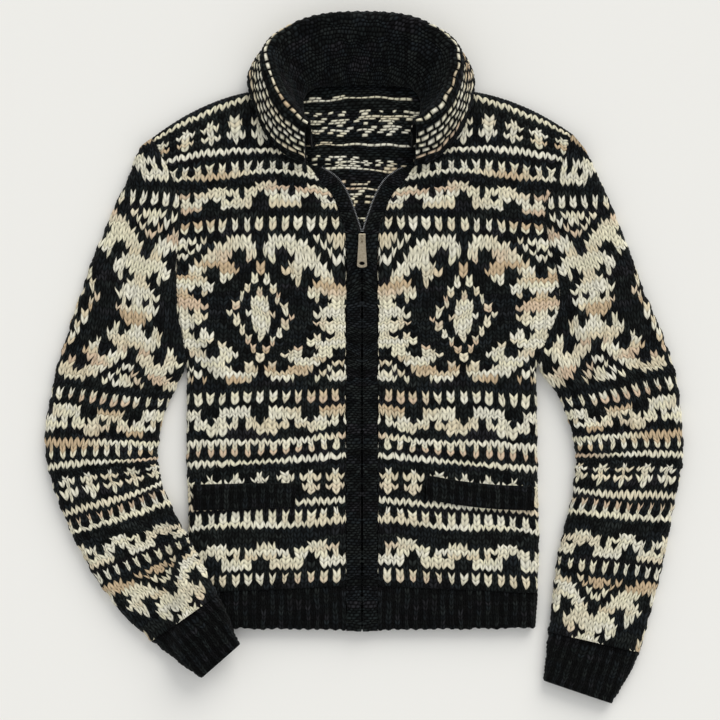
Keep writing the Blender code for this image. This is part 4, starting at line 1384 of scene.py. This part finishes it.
# ------------------------------------------------------------------ meshes
class ClothMesh:
    """Collects the grids and rims of one piece and makes its mesh."""

    def __init__(self) -> None:
        """Starts with nothing."""
        self.points: list[Array] = []
        self.faces: list[Array] = []
        self.colours: list[Array] = []
        self.shades: list[Array] = []
        self.strands: list[Array] = []
        self.maps: list[Array] = []
        self.count = 0

    def add_grid(
        self, points: Array, colour: Array, shade: Array, strand: Array, window: tuple, flip: bool
    ) -> Array:
        """Adds a grid of points as faces.

        Args:
            points: The grid.
            colour: A linear colour for each face.
            shade: How open each vertex is, 0 deep between strands and 1 on a crest; it paints shade, and on
                charcoal a highlight, into the colour.
            strand: Place along and across the yarn at each vertex, in millimetres.
            window: Left, bottom, right and top of its patch in the map.
            flip: Whether to turn the faces over.

        Returns:
            The vertices' numbers, as a grid.
        """
        rows, cols = points.shape[:2]
        index = np.arange(rows * cols).reshape(rows, cols) + self.count
        quads = np.stack([index[:-1, :-1], index[:-1, 1:], index[1:, 1:], index[1:, :-1]], axis=-1)
        left, bottom, right, top = window
        u, v = np.meshgrid(np.linspace(left, right, cols), np.linspace(bottom, top, rows))
        place = np.stack([u, v], axis=-1)
        corners = np.stack([place[:-1, :-1], place[:-1, 1:], place[1:, 1:], place[1:, :-1]], axis=2)
        if flip:
            quads, corners = quads[..., ::-1], corners[:, :, ::-1]
        self.points.append(points.reshape(-1, 3))
        self.shades.append(shade.ravel())
        self.strands.append(strand.reshape(-1, 2))
        self.faces.append(quads.reshape(-1, 4))
        self.colours.append(colour.reshape(-1, 3))
        self.maps.append(corners.reshape(-1, 4, 2))
        self.count += rows * cols
        return index

    def add_rim(self, one: Array, other: Array, colour: tuple, window: tuple, flip: bool) -> None:
        """Joins two edges with a strip of triangles.

        Args:
            one: Numbers of the vertices along the first edge.
            other: Numbers along the second edge, in the same direction.
            colour: The strip's linear colour.
            window: Left, bottom, right and top of its patch in the map.
            flip: Whether to turn the faces over.
        """
        every = np.concatenate(self.points)
        places = [self.shares(every[line]) for line in (one, other)]
        i = j = 0
        made, corners = [], []
        left, bottom, right, top = window
        while i < len(one) - 1 or j < len(other) - 1:
            next_one = places[0][i + 1] if i < len(one) - 1 else 9.0
            next_other = places[1][j + 1] if j < len(other) - 1 else 9.0
            here = [(left, places[0][i]), (right, places[1][j])]
            if next_one <= next_other:
                face, third = (one[i], other[j], one[i + 1]), (left, next_one)
                i += 1
            else:
                face, third = (one[i], other[j], other[j + 1]), (right, next_other)
                j += 1
            spots = [(x, bottom + (top - bottom) * y) for x, y in here + [third]]
            made.append(face[::-1] + (-1,) if flip else face + (-1,))
            corners.append((spots[::-1] if flip else spots) + [spots[0]])
        self.faces.append(np.array(made))
        self.maps.append(np.array(corners))
        self.colours.append(np.broadcast_to(np.array(colour), (len(made), 3)))

    @staticmethod
    def shares(line: Array) -> Array:
        """Share of the way along a line at each of its points."""
        length = np.concatenate([[0], np.cumsum(np.linalg.norm(np.diff(line, axis=0), axis=1))])
        return length / max(length[-1], 1e-9)

    def build(self, name: str, material: bpy.types.Material) -> bpy.types.Object:
        """Makes the object, with coincident vertices joined.

        Args:
            name: The piece's name.
            material: Its finish.

        Returns:
            The new object.
        """
        points, faces = np.concatenate(self.points), np.concatenate(self.faces)
        colours, maps = np.concatenate(self.colours), np.concatenate(self.maps)
        shades, strands = np.concatenate(self.shades), np.concatenate(self.strands)
        spots = np.round(points * SPOTS_PER_MM).astype(np.int64)
        _, first, same = np.unique(spots, axis=0, return_index=True, return_inverse=True)
        same = same.ravel()
        faces = np.where(faces >= 0, same[faces], -1)
        points, shades, strands = points[first], shades[first], strands[first]
        keep = faces >= 0
        for k in range(4):
            after = faces[:, (k + 1) % 4]
            keep[:, k] &= (faces[:, k] != after) | (after < 0)
        keep[(faces[:, 3] < 0) & (faces[:, 2] == faces[:, 0]), 2] = False
        keep[(faces[:, 0] == faces[:, 2]) | (faces[:, 1] == faces[:, 3])] = False
        sizes = keep.sum(axis=1)
        _, once = np.unique(np.sort(np.where(keep, faces, -1), axis=1), axis=0, return_index=True)
        whole = (sizes >= 3) & np.isin(np.arange(len(faces)), once)
        keep, sizes, faces, maps, colours = (rows[whole] for rows in (keep, sizes, faces, maps, colours))
        corners = faces[keep]
        mesh = bpy.data.meshes.new(name)
        mesh.vertices.add(len(points))
        mesh.vertices.foreach_set("co", ((points - ORIGIN) * MM).astype(np.float32).ravel())
        mesh.loops.add(len(corners))
        mesh.loops.foreach_set("vertex_index", corners.astype(np.int32))
        mesh.polygons.add(len(sizes))
        starts = np.concatenate([[0], np.cumsum(sizes)[:-1]])
        mesh.polygons.foreach_set("loop_start", starts.astype(np.int32))
        mesh.update(calc_edges=True)
        mesh.validate()
        uv = mesh.uv_layers.new(name="OFBake")
        uv.data.foreach_set("uv", maps[keep].astype(np.float32).ravel())
        # Painted shade and highlight: each colour is darkened towards the valleys and pits between strands,
        # down to 8 %, and charcoal crests are painted up to 2.3 times brighter.
        crest = shades[corners][:, None]
        colour_with_painted_shade = np.repeat(colours, sizes, axis=0)
        pale = 0.08 + 0.92 * smooth(crest * 1.9)
        colour_with_painted_shade = colour_with_painted_shade * np.where(colour_with_painted_shade[:, :1] > 0.1, pale, 0.08 + 2.3 * crest**2.4)
        # The yarn attribute holds the yarn colour with its painted shade and highlight.
        yarn = mesh.color_attributes.new("yarn", "FLOAT_COLOR", "CORNER")
        line = mesh.attributes.new("strand", "FLOAT_VECTOR", "POINT")
        for layer, field, values, last in ((yarn, "color", colour_with_painted_shade, 1.0), (line, "vector", strands, 0.0)):
            whole = np.concatenate([values, np.full((len(values), 1), last)], axis=1)
            layer.data.foreach_set(field, whole.astype(np.float32).ravel())
        mesh.shade_smooth()
        mesh.materials.append(material)
        obj = bpy.data.objects.new(name, mesh)
        bpy.context.scene.collection.objects.link(obj)
        LOG.info("%s: %d vertices, %d faces", name, len(mesh.vertices), len(mesh.polygons))
        return obj


def knit(
    cloth: ClothMesh, surface: Surface, knitting: Knitting, window: tuple, flip: bool, sink: float = 0.5
) -> Array:
    """Lays a lattice of stitches over a surface.

    Args:
        cloth: Where the grid goes.
        surface: The sheet's shape.
        knitting: Its stitches.
        window: Its patch in the map.
        flip: Whether to turn the faces over.
        sink: Share of the relief that lies below the surface.

    Returns:
        The vertices' numbers, as a grid.
    """
    low, high = surface.rows()
    sample = np.linspace(low, high, 200)
    first, last = surface.edges(sample)
    lattice = knitting.lattice(float(first.min()), float(last.max()), low, high)
    drift = wander(lattice.c, lattice.r, 2.6, 41), wander(lattice.c, lattice.r, 2.9, 42)
    slow = wander(lattice.c, lattice.r, 11.0, 43), wander(lattice.c, lattice.r, 13.0, 44)
    loose_c = lattice.c + knitting.unevenness * (0.17 * drift[0] + 0.14 * slow[0])
    swell = 0.05 + 0.13 * wander(lattice.c, lattice.level, 5.0, 47)
    loose_c = loose_c + knitting.unevenness * swell * np.sin(math.pi * lattice.c)
    loose_r = lattice.r + knitting.unevenness * (0.20 * drift[1] + 0.26 * slow[1])
    r = np.clip(loose_r, low, high)
    ragged = 0.12 * knitting.unevenness * wander(lattice.level, 0 * lattice.level, 3.0, 61)
    c_low, c_high = surface.edges(r)
    c_low, c_high = c_low - ragged, c_high + ragged
    beyond = (loose_c <= c_low) | (loose_c >= c_high)
    r = np.where(beyond, np.clip(lattice.level, low, high), r)
    c_low, c_high = surface.edges(r)
    c_low, c_high = c_low - ragged, c_high + ragged
    c = np.clip(loose_c, c_low, c_high)
    c = np.where(beyond, np.where(lattice.c > (c_low + c_high) / 2, c_high, c_low), c)
    r_low, r_high = surface.row_limits(c)
    r = np.clip(r, r_low, r_high)
    at_end = (r <= r_low) | (r >= r_high)
    chain = 0.25 + 0.6 * np.abs(np.sin(math.pi * lattice.level))
    loops = 0.25 + 0.5 * np.abs(np.sin(math.pi * lattice.c * 2))
    height = np.where(beyond, chain, lattice.height)
    height = np.where(at_end, np.where(beyond, 0.4, loops), height)
    points = surface.point(c, r) + surface.normal(c, r) * ((height - sink) * RELIEF)[..., None]
    # The height is also handed on as each vertex's openness, which sets the painted shade.
    return cloth.add_grid(points, lattice.colour, np.clip(height, 0, 1), lattice.strand, window, flip)


def plain(cloth: ClothMesh, surface: Surface, cols: int, rows: int, window: tuple, flip: bool) -> Array:
    """Lays a plain grid over the inner face of a sheet.

    Args:
        cloth: Where the grid goes.
        surface: The sheet's shape.
        cols: Faces across.
        rows: Faces up.
        window: Its patch in the map.
        flip: Whether to turn the faces over.

    Returns:
        The vertices' numbers, as a grid.
    """
    low, high = surface.rows()
    r = np.linspace(low, high, rows + 1)[:, None] * np.ones((1, cols + 1))
    c_low, c_high = surface.edges(r)
    share = np.linspace(0, 1, cols + 1)[None, :]
    c = c_low + (c_high - c_low) * share
    r_low, r_high = surface.row_limits(c)
    r = r_low + (r_high - r_low) * np.linspace(0, 1, rows + 1)[:, None]
    points = surface.inner(c, r)
    row, col = face_cells(r, np.floor), face_cells(c, np.round)
    strand = np.stack([c * 7.0, r * 6.5], axis=-1)
    # Painted shade: the inner face gets an openness of 0.2, so its charcoal is painted at about an eighth of
    # its colour.
    return cloth.add_grid(points, CHARCOAL.colours(row, col), np.full(c.shape, 0.2), strand, window, flip)


def sides(index: Array) -> list[Array]:
    """The four edges of a grid of vertex numbers, each in its rising direction."""
    return [index[0], index[:, -1], index[-1], index[:, 0]]


@dataclass
class Sheet:
    """A flat piece with a knitted outer face and a plain inner face."""

    name: str
    surface: Surface
    knitting: Knitting
    flip: bool = False
    sink: float = 0.5
    grain: tuple[int, int] = (24, 60)

    def build(self, material: bpy.types.Material) -> bpy.types.Object:
        """Makes the piece.

        Args:
            material: Its finish.

        Returns:
            The new object.
        """
        cloth = ClothMesh()
        outer = knit(cloth, self.surface, self.knitting, (0.0, 0.0, 0.68, 1.0), self.flip, self.sink)
        inner = plain(cloth, self.surface, *self.grain, (0.7, 0.0, 0.95, 1.0), not self.flip)
        turns = (False, False, True, True)
        # The rims between the outer and inner faces get the painted shade of DEEP_SHADE.
        for k, (one, other) in enumerate(zip(sides(outer), sides(inner))):
            window = (0.955 + 0.011 * k, 0.0, 0.963 + 0.011 * k, 1.0)
            cloth.add_rim(one, other, linear(DEEP_SHADE), window, turns[k] == self.flip)
        return cloth.build(self.name, material)


@dataclass
class Tube:
    """A sleeve or cuff: knitted above and below, hollow inside."""

    name: str
    upper: SleeveSurface
    lower: SleeveSurface
    knitting: Knitting
    under: Knitting
    rows_inside: int = 40

    def build(self, material: bpy.types.Material) -> bpy.types.Object:
        """Makes the tube.

        Args:
            material: Its finish.

        Returns:
            The new object.
        """
        flip = self.upper.side < 0
        cloth = ClothMesh()
        top = knit(cloth, self.upper, self.knitting, (0.0, 0.0, 0.5, 1.0), flip)
        base = knit(cloth, self.lower, self.under, (0.51, 0.0, 0.8, 1.0), not flip, 1.0)
        inside = plain(cloth, self.upper, 14, self.rows_inside, (0.81, 0.0, 0.88, 1.0), not flip)
        inside_low = plain(cloth, self.lower, 14, self.rows_inside, (0.885, 0.0, 0.95, 1.0), flip)
        # Painted shade for the rims between the layers.
        dark = linear(DEEP_SHADE)
        pairs = (
            (top[:, 0], base[:, 0], flip), (top[:, -1], base[:, -1], not flip),
            (top[0], inside[0], not flip), (top[-1], inside[-1], flip),
            (base[0], inside_low[0], flip), (base[-1], inside_low[-1], not flip),
        )
        for k, (one, other, turn) in enumerate(pairs):
            cloth.add_rim(one, other, dark, (0.955 + 0.0075 * k, 0.0, 0.96 + 0.0075 * k, 1.0), turn)
        return cloth.build(self.name, material)


# ------------------------------------------------------------------ finishes
def feed(tree: bpy.types.NodeTree, node: bpy.types.Node, links: dict) -> None:
    """Links or sets a node's inputs.

    Args:
        tree: The material's node tree.
        node: The node.
        links: Input name or number to the socket or value that feeds it.
    """
    for name, source in links.items():
        if isinstance(source, bpy.types.NodeSocket):
            tree.links.new(source, node.inputs[name])
        else:
            node.inputs[name].default_value = source


def add_node(
    tree: bpy.types.NodeTree, kind: str, links: dict | None = None, **settings: object
) -> bpy.types.Node:
    """Adds a node with its settings and links.

    Args:
        tree: The material's node tree.
        kind: The node's type.
        links: Input name or number to the socket or value that feeds it.
        settings: Attributes of the node.

    Returns:
        The new node.
    """
    node = tree.nodes.new(kind)
    for name, value in settings.items():
        setattr(node, name, value)
    feed(tree, node, links or {})
    return node


class Finish:
    """What every finish starts from."""

    name: str

    def start(self) -> tuple[bpy.types.Material, bpy.types.NodeTree, bpy.types.Node]:
        """Makes an undressed material.

        Returns:
            The material, its node tree and its shader.
        """
        material = bpy.data.materials.new(self.name)
        material.use_nodes = True
        return material, material.node_tree, material.node_tree.nodes["Principled BSDF"]


@dataclass(frozen=True)
class WoolFinish(Finish):
    """Bulky wool, loosely plied and brushed: matt, with a soft halo and fine fibres."""

    name: str = "bulky_wool_loosely_plied"
    roughness: float = 0.95
    specular: float = 0.07
    sheen: float = 0.05
    ply_mm: float = 2.6
    plies: float = 3.1
    fibre_mm: float = 0.5
    fuzz: float = 1400.0  # tufts in a metre, 0.7 mm apart

    def build(self) -> bpy.types.Material:
        """Makes the material.

        Returns:
            The material, with plies and fibres drawn along each strand.
        """
        material, tree, shader = self.start()
        # The yarn attribute carries the yarn colour with its painted shade and highlight.
        yarn = add_node(tree, "ShaderNodeAttribute", attribute_name="yarn").outputs["Color"]
        strand = add_node(tree, "ShaderNodeAttribute", attribute_name="strand").outputs["Vector"]
        turned_ply = add_node(tree, "ShaderNodeMapping", {"Vector": strand, "Rotation": (0, 0, 0.9)})
        wave = {"Vector": turned_ply.outputs[0], "Scale": WAVE_TO_MM / self.ply_mm * self.plies}
        ply = add_node(tree, "ShaderNodeTexWave", wave | {"Distortion": 1.2, "Detail": 1.0})
        drawn = add_node(tree, "ShaderNodeMapping", {"Vector": strand, "Scale": (0.35, 1.6, 1.0)})
        hair = {"Vector": drawn.outputs[0], "Scale": 1 / self.fibre_mm, "Detail": 3.0, "Roughness": 0.65}
        fibre = add_node(tree, "ShaderNodeTexNoise", hair)
        spot = add_node(tree, "ShaderNodeTexCoord").outputs["Object"]
        fuzz = add_node(tree, "ShaderNodeTexNoise", {"Vector": spot, "Scale": self.fuzz, "Detail": 2.0})
        spread = {"From Min": 0.3, "From Max": 0.7, "To Min": 0.78, "To Max": 1.16}
        tone = add_node(tree, "ShaderNodeMapRange", {"Value": fibre.outputs["Fac"]} | spread)
        tinted = add_node(tree, "ShaderNodeVectorMath", {0: yarn, 1: tone.outputs[0]}, operation="MULTIPLY")
        relief = {}
        for texture, strength, distance in ((ply, 0.55, 0.00035), (fibre, 0.5, 0.0002), (fuzz, 0.5, 0.00025)):
            height = {"Height": texture.outputs["Fac"], "Strength": strength, "Distance": distance}
            relief = {"Normal": add_node(tree, "ShaderNodeBump", height | relief).outputs[0]}
        gloss = {"Roughness": self.roughness, "Specular IOR Level": self.specular}
        halo = {"Sheen Weight": self.sheen, "Sheen Roughness": 0.5}
        feed(tree, shader, relief | gloss | halo | {"Base Color": tinted.outputs[0]})
        return material


@dataclass(frozen=True)
class MetalFinish(Finish):
    """Plated zip metal, tumbled and worn: warm grey with bright edges and fine scratches."""

    name: str = "zip_metal_brass_antiqued"
    colour: str = "#CDC2AC"
    dark: str = "#7E715A"
    roughness: float = 0.36
    stains: float = 420.0  # in a metre, 2.4 mm apart
    scratches: float = 2600.0  # in a metre, 0.4 mm apart

    def build(self) -> bpy.types.Material:
        """Makes the material.

        Returns:
            The material, stained in patches and scratched all over.
        """
        material, tree, shader = self.start()
        spot = add_node(tree, "ShaderNodeTexCoord").outputs["Object"]
        stain = add_node(tree, "ShaderNodeTexNoise", {"Vector": spot, "Scale": self.stains, "Detail": 4.0})
        shades = {0: stain.outputs["Fac"], 6: (*linear(self.dark), 1), 7: (*linear(self.colour), 1)}
        mix = add_node(tree, "ShaderNodeMix", shades, data_type="RGBA")
        fine = {"Vector": spot, "Scale": self.scratches, "Detail": 2.0}
        line = add_node(tree, "ShaderNodeTexNoise", fine).outputs["Fac"]
        worn = {"To Min": self.roughness - 0.1, "To Max": self.roughness + 0.16}
        rough = add_node(tree, "ShaderNodeMapRange", {"Value": line} | worn)
        bump = add_node(tree, "ShaderNodeBump", {"Height": line, "Strength": 0.12, "Distance": 0.0001})
        metal = {"Base Color": mix.outputs[2], "Metallic": 1.0}
        feed(tree, shader, metal | {"Roughness": rough.outputs[0], "Normal": bump.outputs[0]})
        return material


@dataclass(frozen=True)
class TapeFinish(Finish):
    """Woven black zip tape: a fine twill that takes a little light."""

    name: str = "zip_tape_woven_black"
    colour: str = "#141414"
    thread_mm: float = 0.6

    def build(self) -> bpy.types.Material:
        """Makes the material.

        Returns:
            The material, with its twill as a bump.
        """
        material, tree, shader = self.start()
        spot = add_node(tree, "ShaderNodeTexCoord").outputs["Object"]
        wave = {"Vector": spot, "Scale": WAVE_TO_MM / (self.thread_mm * MM)}
        weave = add_node(tree, "ShaderNodeTexWave", wave, bands_direction="DIAGONAL").outputs["Fac"]
        bump = add_node(tree, "ShaderNodeBump", {"Height": weave, "Strength": 0.4, "Distance": 0.0002})
        cloth = {"Base Color": (*linear(self.colour), 1), "Roughness": 0.8}
        feed(tree, shader, cloth | {"Normal": bump.outputs[0]})
        return material


@dataclass(frozen=True)
class FloorFinish(Finish):
    """Painted studio board: pale, matt and very slightly warm."""

    name: str = "studio_board_painted_matt"
    colour: str = "#EFEEEA"

    def build(self) -> bpy.types.Material:
        """Makes the material.

        Returns:
            The material.
        """
        material, tree, shader = self.start()
        paint = {"Base Color": (*linear(self.colour), 1), "Roughness": 0.9, "Specular IOR Level": 0.1}
        feed(tree, shader, paint)
        return material


# ------------------------------------------------------------------ sub-assemblies
@dataclass
class Garment:
    """All the knitted pieces."""

    wool: bpy.types.Material

    def sew(
        self, piece: Sheet | Tube, node: str, flat: tuple[float, float], slot: str
    ) -> bpy.types.Object:
        """Makes a piece and puts it in place of its solid.

        Args:
            piece: The piece.
            node: The solid that it stands for.
            flat: Width and length of the flat cut, in metres; not used.
            slot: Name of a material slot; not used.

        Returns:
            The piece's object.
        """
        obj = piece.build(self.wool)
        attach(obj, "garment")
        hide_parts(node)
        return obj

    def build_body(self) -> None:
        """Knits the back, its wrong side in the neck, and the two fronts."""
        fine = Knitting(Stitch.STOCKINETTE, Chart())
        coarse = Knitting(Stitch.STOCKINETTE, Chart(), across=1, up=2)
        sheet = Sheet("back_knit", BackSurface(), coarse, flip=True, sink=1.0, grain=(40, 60))
        back = self.sew(sheet, "back", (0.50, 0.625), "wool_two_colour")
        floats = ClothMesh()
        knit(floats, NeckFloats(), Knitting(Stitch.PURL, Chart(), floats=True), (0.0, 0.0, 1.0, 1.0), False)
        inside = floats.build("back_neck_floats", self.wool)
        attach(inside, "garment")
        for side, name in SIDES:
            front = Sheet(f"front_{name}_knit", BodySurface(side), fine, flip=side < 0)
            self.sew(front, f"front_{name}", (0.235, 0.625), "wool_two_colour")

    def build_hems(self) -> None:
        """Knits the ribbed hem."""
        rib = Knitting(Stitch.RIB)
        for side, name in SIDES:
            hem = Sheet(f"hem_front_{name}_rib", HemSurface(side), rib, flip=side < 0, grain=(30, 8))
            self.sew(hem, f"hem_front_{name}", (0.2, 0.052), "wool_black")
        coarse = Knitting(Stitch.RIB, across=1, up=2)
        hem = Sheet("hem_back_rib", HemBackSurface(), coarse, flip=True, sink=1.0, grain=(60, 8))
        self.sew(hem, "hem_back", (0.43, 0.052), "wool_black")

    def build_bands(self) -> None:
        """Knits the garter strips and the pocket welts."""
        garter, rib = Knitting(Stitch.PURL), Knitting(Stitch.RIB, rib_depth=0.5)
        for side, name in SIDES:
            band = Sheet(f"band_{name}_garter", BandSurface(side), garter, flip=side < 0, grain=(4, 90))
            self.sew(band, f"band_{name}", (0.02, 0.60), "wool_black")
            welt = Sheet(f"pocket_welt_{name}_rib", WeltSurface(side), rib, flip=side < 0, grain=(24, 5))
            self.sew(welt, f"pocket_welt_{name}", (0.13, 0.031), "wool_black")

    def build_sleeves(self) -> None:
        """Knits the sleeves and cuffs as tubes."""
        chart = Chart(start=-12, shift=-SLEEVE_MIDDLE)
        sleeve = {"pitch": SLEEVE_STITCH}
        cuff = {"first": -12.0, "last": -0.1, "high": SLEEVE_HIGH - 0.6, "wall": RIB_WALL, "crown": 1.6}
        cuff["pitch"] = RIB_STITCH
        tubes = (
            ("sleeve", "knit", sleeve, Stitch.STOCKINETTE, chart, 70, (0.262, 0.63), "wool_two_colour"),
            ("cuff", "rib", cuff, Stitch.RIB, None, 8, (0.18, 0.07), "wool_black"),
        )
        for side, name in SIDES:
            for piece, kind, shape, stitch, motif, rows, flat, slot in tubes:
                halves = SleeveSurface(side, **shape), SleeveSurface(side, under=True, **shape)
                knits = Knitting(stitch, motif), Knitting(stitch, motif, across=1, up=2)
                self.sew(Tube(f"{piece}_{name}_{kind}", *halves, *knits, rows), f"{piece}_{name}", flat, slot)

    def build_collar(self) -> None:
        """Knits the folded collar."""
        surface = CollarSurface()
        bumps = Knitting(Stitch.PURL, LeafChart(stitches=surface.across()[1]), dashes=True)
        collar = Sheet("collar_folded", surface, bumps, grain=(90, 24))
        self.sew(collar, "collar", (0.44, 0.15), "wool_black")


@dataclass
class Zip:
    """The metal zip: teeth on their tapes, the slider and its pull."""

    teeth: bpy.types.Material
    tape: bpy.types.Material
    brass: bpy.types.Material
    tooth: tuple[float, float, float] = (2.0, 1.0, 1.5)
    pitch: float = 1.9
    tooth_rise: float = 2.9  # from the fronts' underside to the middle of a tooth
    tape_rise: float = 1.3
    tape_wide: float = 2.4
    tape_thick: float = 0.8
    tuck: float = 0.9  # how far the tape's edge is tucked below the band

    def build(self) -> None:
        """Makes the chains."""
        for side, name in SIDES:
            chain = self.build_chain(side, name)
            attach(chain, "garment")
            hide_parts(f"zip_chain_{name}")
            LOG.info("zip chain %s", name)

    def dress(self, nodes: dict) -> None:
        """Gives the slider and the pull, which stay as packed, their brass.

        Args:
            nodes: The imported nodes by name.
        """
        for node in ("zip_slider", "zip_pull"):
            nodes[node].data.materials.clear()
            nodes[node].data.materials.append(self.brass)

    def route(self) -> tuple[Array, Array, Array, Array]:
        """The line that the teeth follow beside a band, above the slider.

        Returns:
            Points, lengths along them, the direction of the run and the way towards the zip's middle.
        """
        rows = np.linspace(SLIDER_ROW + 1.2, BAND_TOP_ROW - 0.4, 400)
        edge = np.stack([curve(BAND_EDGE["row"], BAND_EDGE[name], rows) for name in "xy"], axis=-1)
        steps = np.linalg.norm(np.diff(edge, axis=0), axis=1)
        run = unit(np.gradient(edge, axis=0))
        inward = np.stack([-run[:, 1], run[:, 0]], axis=-1)
        return edge, np.concatenate([[0], np.cumsum(steps)]), run, inward

    def add_tape(self, bm: bmesh.types.BMesh, side: int) -> None:
        """Adds the strip of tape between the band and the teeth, a thin closed ribbon.

        Args:
            bm: The chain's mesh.
            side: +1 for the wearer's left.
        """
        edge, _, _, inward = self.route()
        edge, inward = edge[::6], inward[::6]
        reach = np.minimum(edge[:, 0] * 0.8, self.tape_wide)
        rings, faces = [], []
        for (x, y), (to_x, to_y), wide in zip(edge, inward, reach):
            ring = []
            section = ((-self.tuck, 0.0), (wide, 0.0), (wide, self.tape_thick), (-self.tuck, self.tape_thick))
            for out, z in section:
                place = np.array([side * (x + to_x * out), y + to_y * out, FRONT_LOW + self.tape_rise + z])
                ring.append(bm.verts.new((place - ORIGIN) * MM))
            rings.append(ring)
        for low, high in zip(rings, rings[1:]):
            for k in range(4):
                faces.append(bm.faces.new((low[k], low[(k + 1) % 4], high[(k + 1) % 4], high[k])))
        faces += [bm.faces.new(rings[0]), bm.faces.new(rings[-1][::-1])]
        bmesh.ops.recalc_face_normals(bm, faces=faces)
        for face in faces:
            face.material_index = 1

    def build_chain(self, side: int, name: str) -> bpy.types.Object:
        """Sets the teeth along one band's edge, on a strip of tape.

        Args:
            side: +1 for the wearer's left.
            name: The side's name.

        Returns:
            The chain.
        """
        edge, length, runs, ways = self.route()
        bm = bmesh.new()
        for k in range(int(length[-1] / self.pitch)):
            at = (k + 0.5) * self.pitch
            x, y, run_x, run_y, to_x, to_y = (
                float(np.interp(at, length, line)) for line in np.concatenate([edge, runs, ways], axis=1).T
            )
            run, inward = np.array([run_x, run_y, 0.0]), np.array([to_x, to_y, 0.0])
            reach = self.tuck + min(self.tooth[0] / 2, x * 0.45)
            root = np.array([x, y, FRONT_LOW + self.tooth_rise])
            self.add_tooth(bm, root + inward * reach, run, inward, side)
        self.add_tape(bm, side)
        mesh = bpy.data.meshes.new(f"zip_teeth_{name}")
        bm.to_mesh(mesh)
        bm.free()
        mesh.materials.append(self.teeth)
        mesh.materials.append(self.tape)
        obj = bpy.data.objects.new(f"zip_teeth_{name}", mesh)
        bpy.context.scene.collection.objects.link(obj)
        bevel = obj.modifiers.new("rounded", "BEVEL")
        bevel.width, bevel.segments = 0.25 * MM, 2
        return obj

    def add_tooth(self, bm: bmesh.types.BMesh, middle: Array, run: Array, inward: Array, side: int) -> None:
        """Adds one tooth.

        Args:
            bm: The chain's mesh.
            middle: Where the tooth is.
            run: Direction along the chain.
            inward: Direction of the tooth's tip.
            side: +1 for the wearer's left.
        """
        deep, wide, high = self.tooth
        verts = []
        for a, b, h in itertools.product((-0.5, 0.5), repeat=3):
            taper = 0.75 if a > 0 else 1.0
            point = middle + inward * a * deep + run * b * wide * taper + np.array([0, 0, h * high])
            verts.append(bm.verts.new((point * np.array([side, 1, 1]) - ORIGIN) * MM))
        for face in ((0, 1, 3, 2), (4, 6, 7, 5), (0, 4, 5, 1), (2, 3, 7, 6), (0, 2, 6, 4), (1, 5, 7, 3)):
            bm.faces.new([verts[k] for k in (face if side > 0 else face[::-1])])


@dataclass
class Stage:
    """The pale board, the soft light and the camera above."""

    frame_wide: float = 0.9
    camera_high: float = 3.2
    view_x: float = -2.5
    view_y: float = 340.0
    sun: float = 1.9
    sun_wide: float = 44.0
    sun_turn: tuple[float, float, float] = (-62.0, 0.0, -24.0)
    sky: float = 0.79

    def build(self) -> None:
        """Makes the floor, the light and the camera."""
        bpy.ops.mesh.primitive_grid_add(x_subdivisions=8, y_subdivisions=8, size=8, location=(0, 0, -0.0002))
        floor = bpy.context.active_object
        floor.name = "studio_board"
        floor.data.materials.append(FloorFinish().build())
        floor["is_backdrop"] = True
        sun = bpy.data.lights.new("key", "SUN")
        sun.energy, sun.angle, sun.color = self.sun, math.radians(self.sun_wide), linear("#FFFDF8")
        lamp = bpy.data.objects.new("key", sun)
        lamp.rotation_euler = [math.radians(angle) for angle in self.sun_turn]
        lamp.location = (1.0, 1.0, 2.0)
        world = bpy.data.worlds.new("studio")
        bpy.context.scene.world = world
        world.use_nodes = True
        backdrop = {0: (*linear("#F2F3F4"), 1), 1: self.sky}
        feed(world.node_tree, world.node_tree.nodes["Background"], backdrop)
        camera = bpy.data.cameras.new("camera")
        camera.sensor_width = 36.0
        camera.lens = 36.0 * self.camera_high / self.frame_wide
        camera.clip_end = 20.0
        obj = bpy.data.objects.new("camera", camera)
        obj.location = ((self.view_x - FRAME_X) * MM, (self.view_y - FRAME_Y) * MM, self.camera_high)
        for thing in (lamp, obj):
            bpy.context.scene.collection.objects.link(thing)
        bpy.context.scene.camera = obj
        bpy.context.scene.view_settings.view_transform = "Standard"


def corners() -> list[list[float]]:
    """The shown object's lowest and highest corner as plain numbers."""
    return [[float(v) for v in corner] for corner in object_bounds()]


def main() -> None:
    """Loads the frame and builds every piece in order."""
    logging.basicConfig(level=logging.INFO, format="%(name)s %(message)s")
    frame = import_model()
    Stage().build()
    wool = WoolFinish().build()
    brass, tape = MetalFinish().build(), TapeFinish().build()
    nickel = MetalFinish("zip_teeth_nickel_brushed", "#B4B6B8", "#5F6163", 0.42).build()
    garment = Garment(wool)
    garment.build_body()
    garment.build_hems()
    garment.build_bands()
    garment.build_sleeves()
    garment.build_collar()
    fastener = Zip(nickel, tape, brass)
    fastener.build()
    fastener.dress(frame["nodes"])


if __name__ == "__main__":
    main()
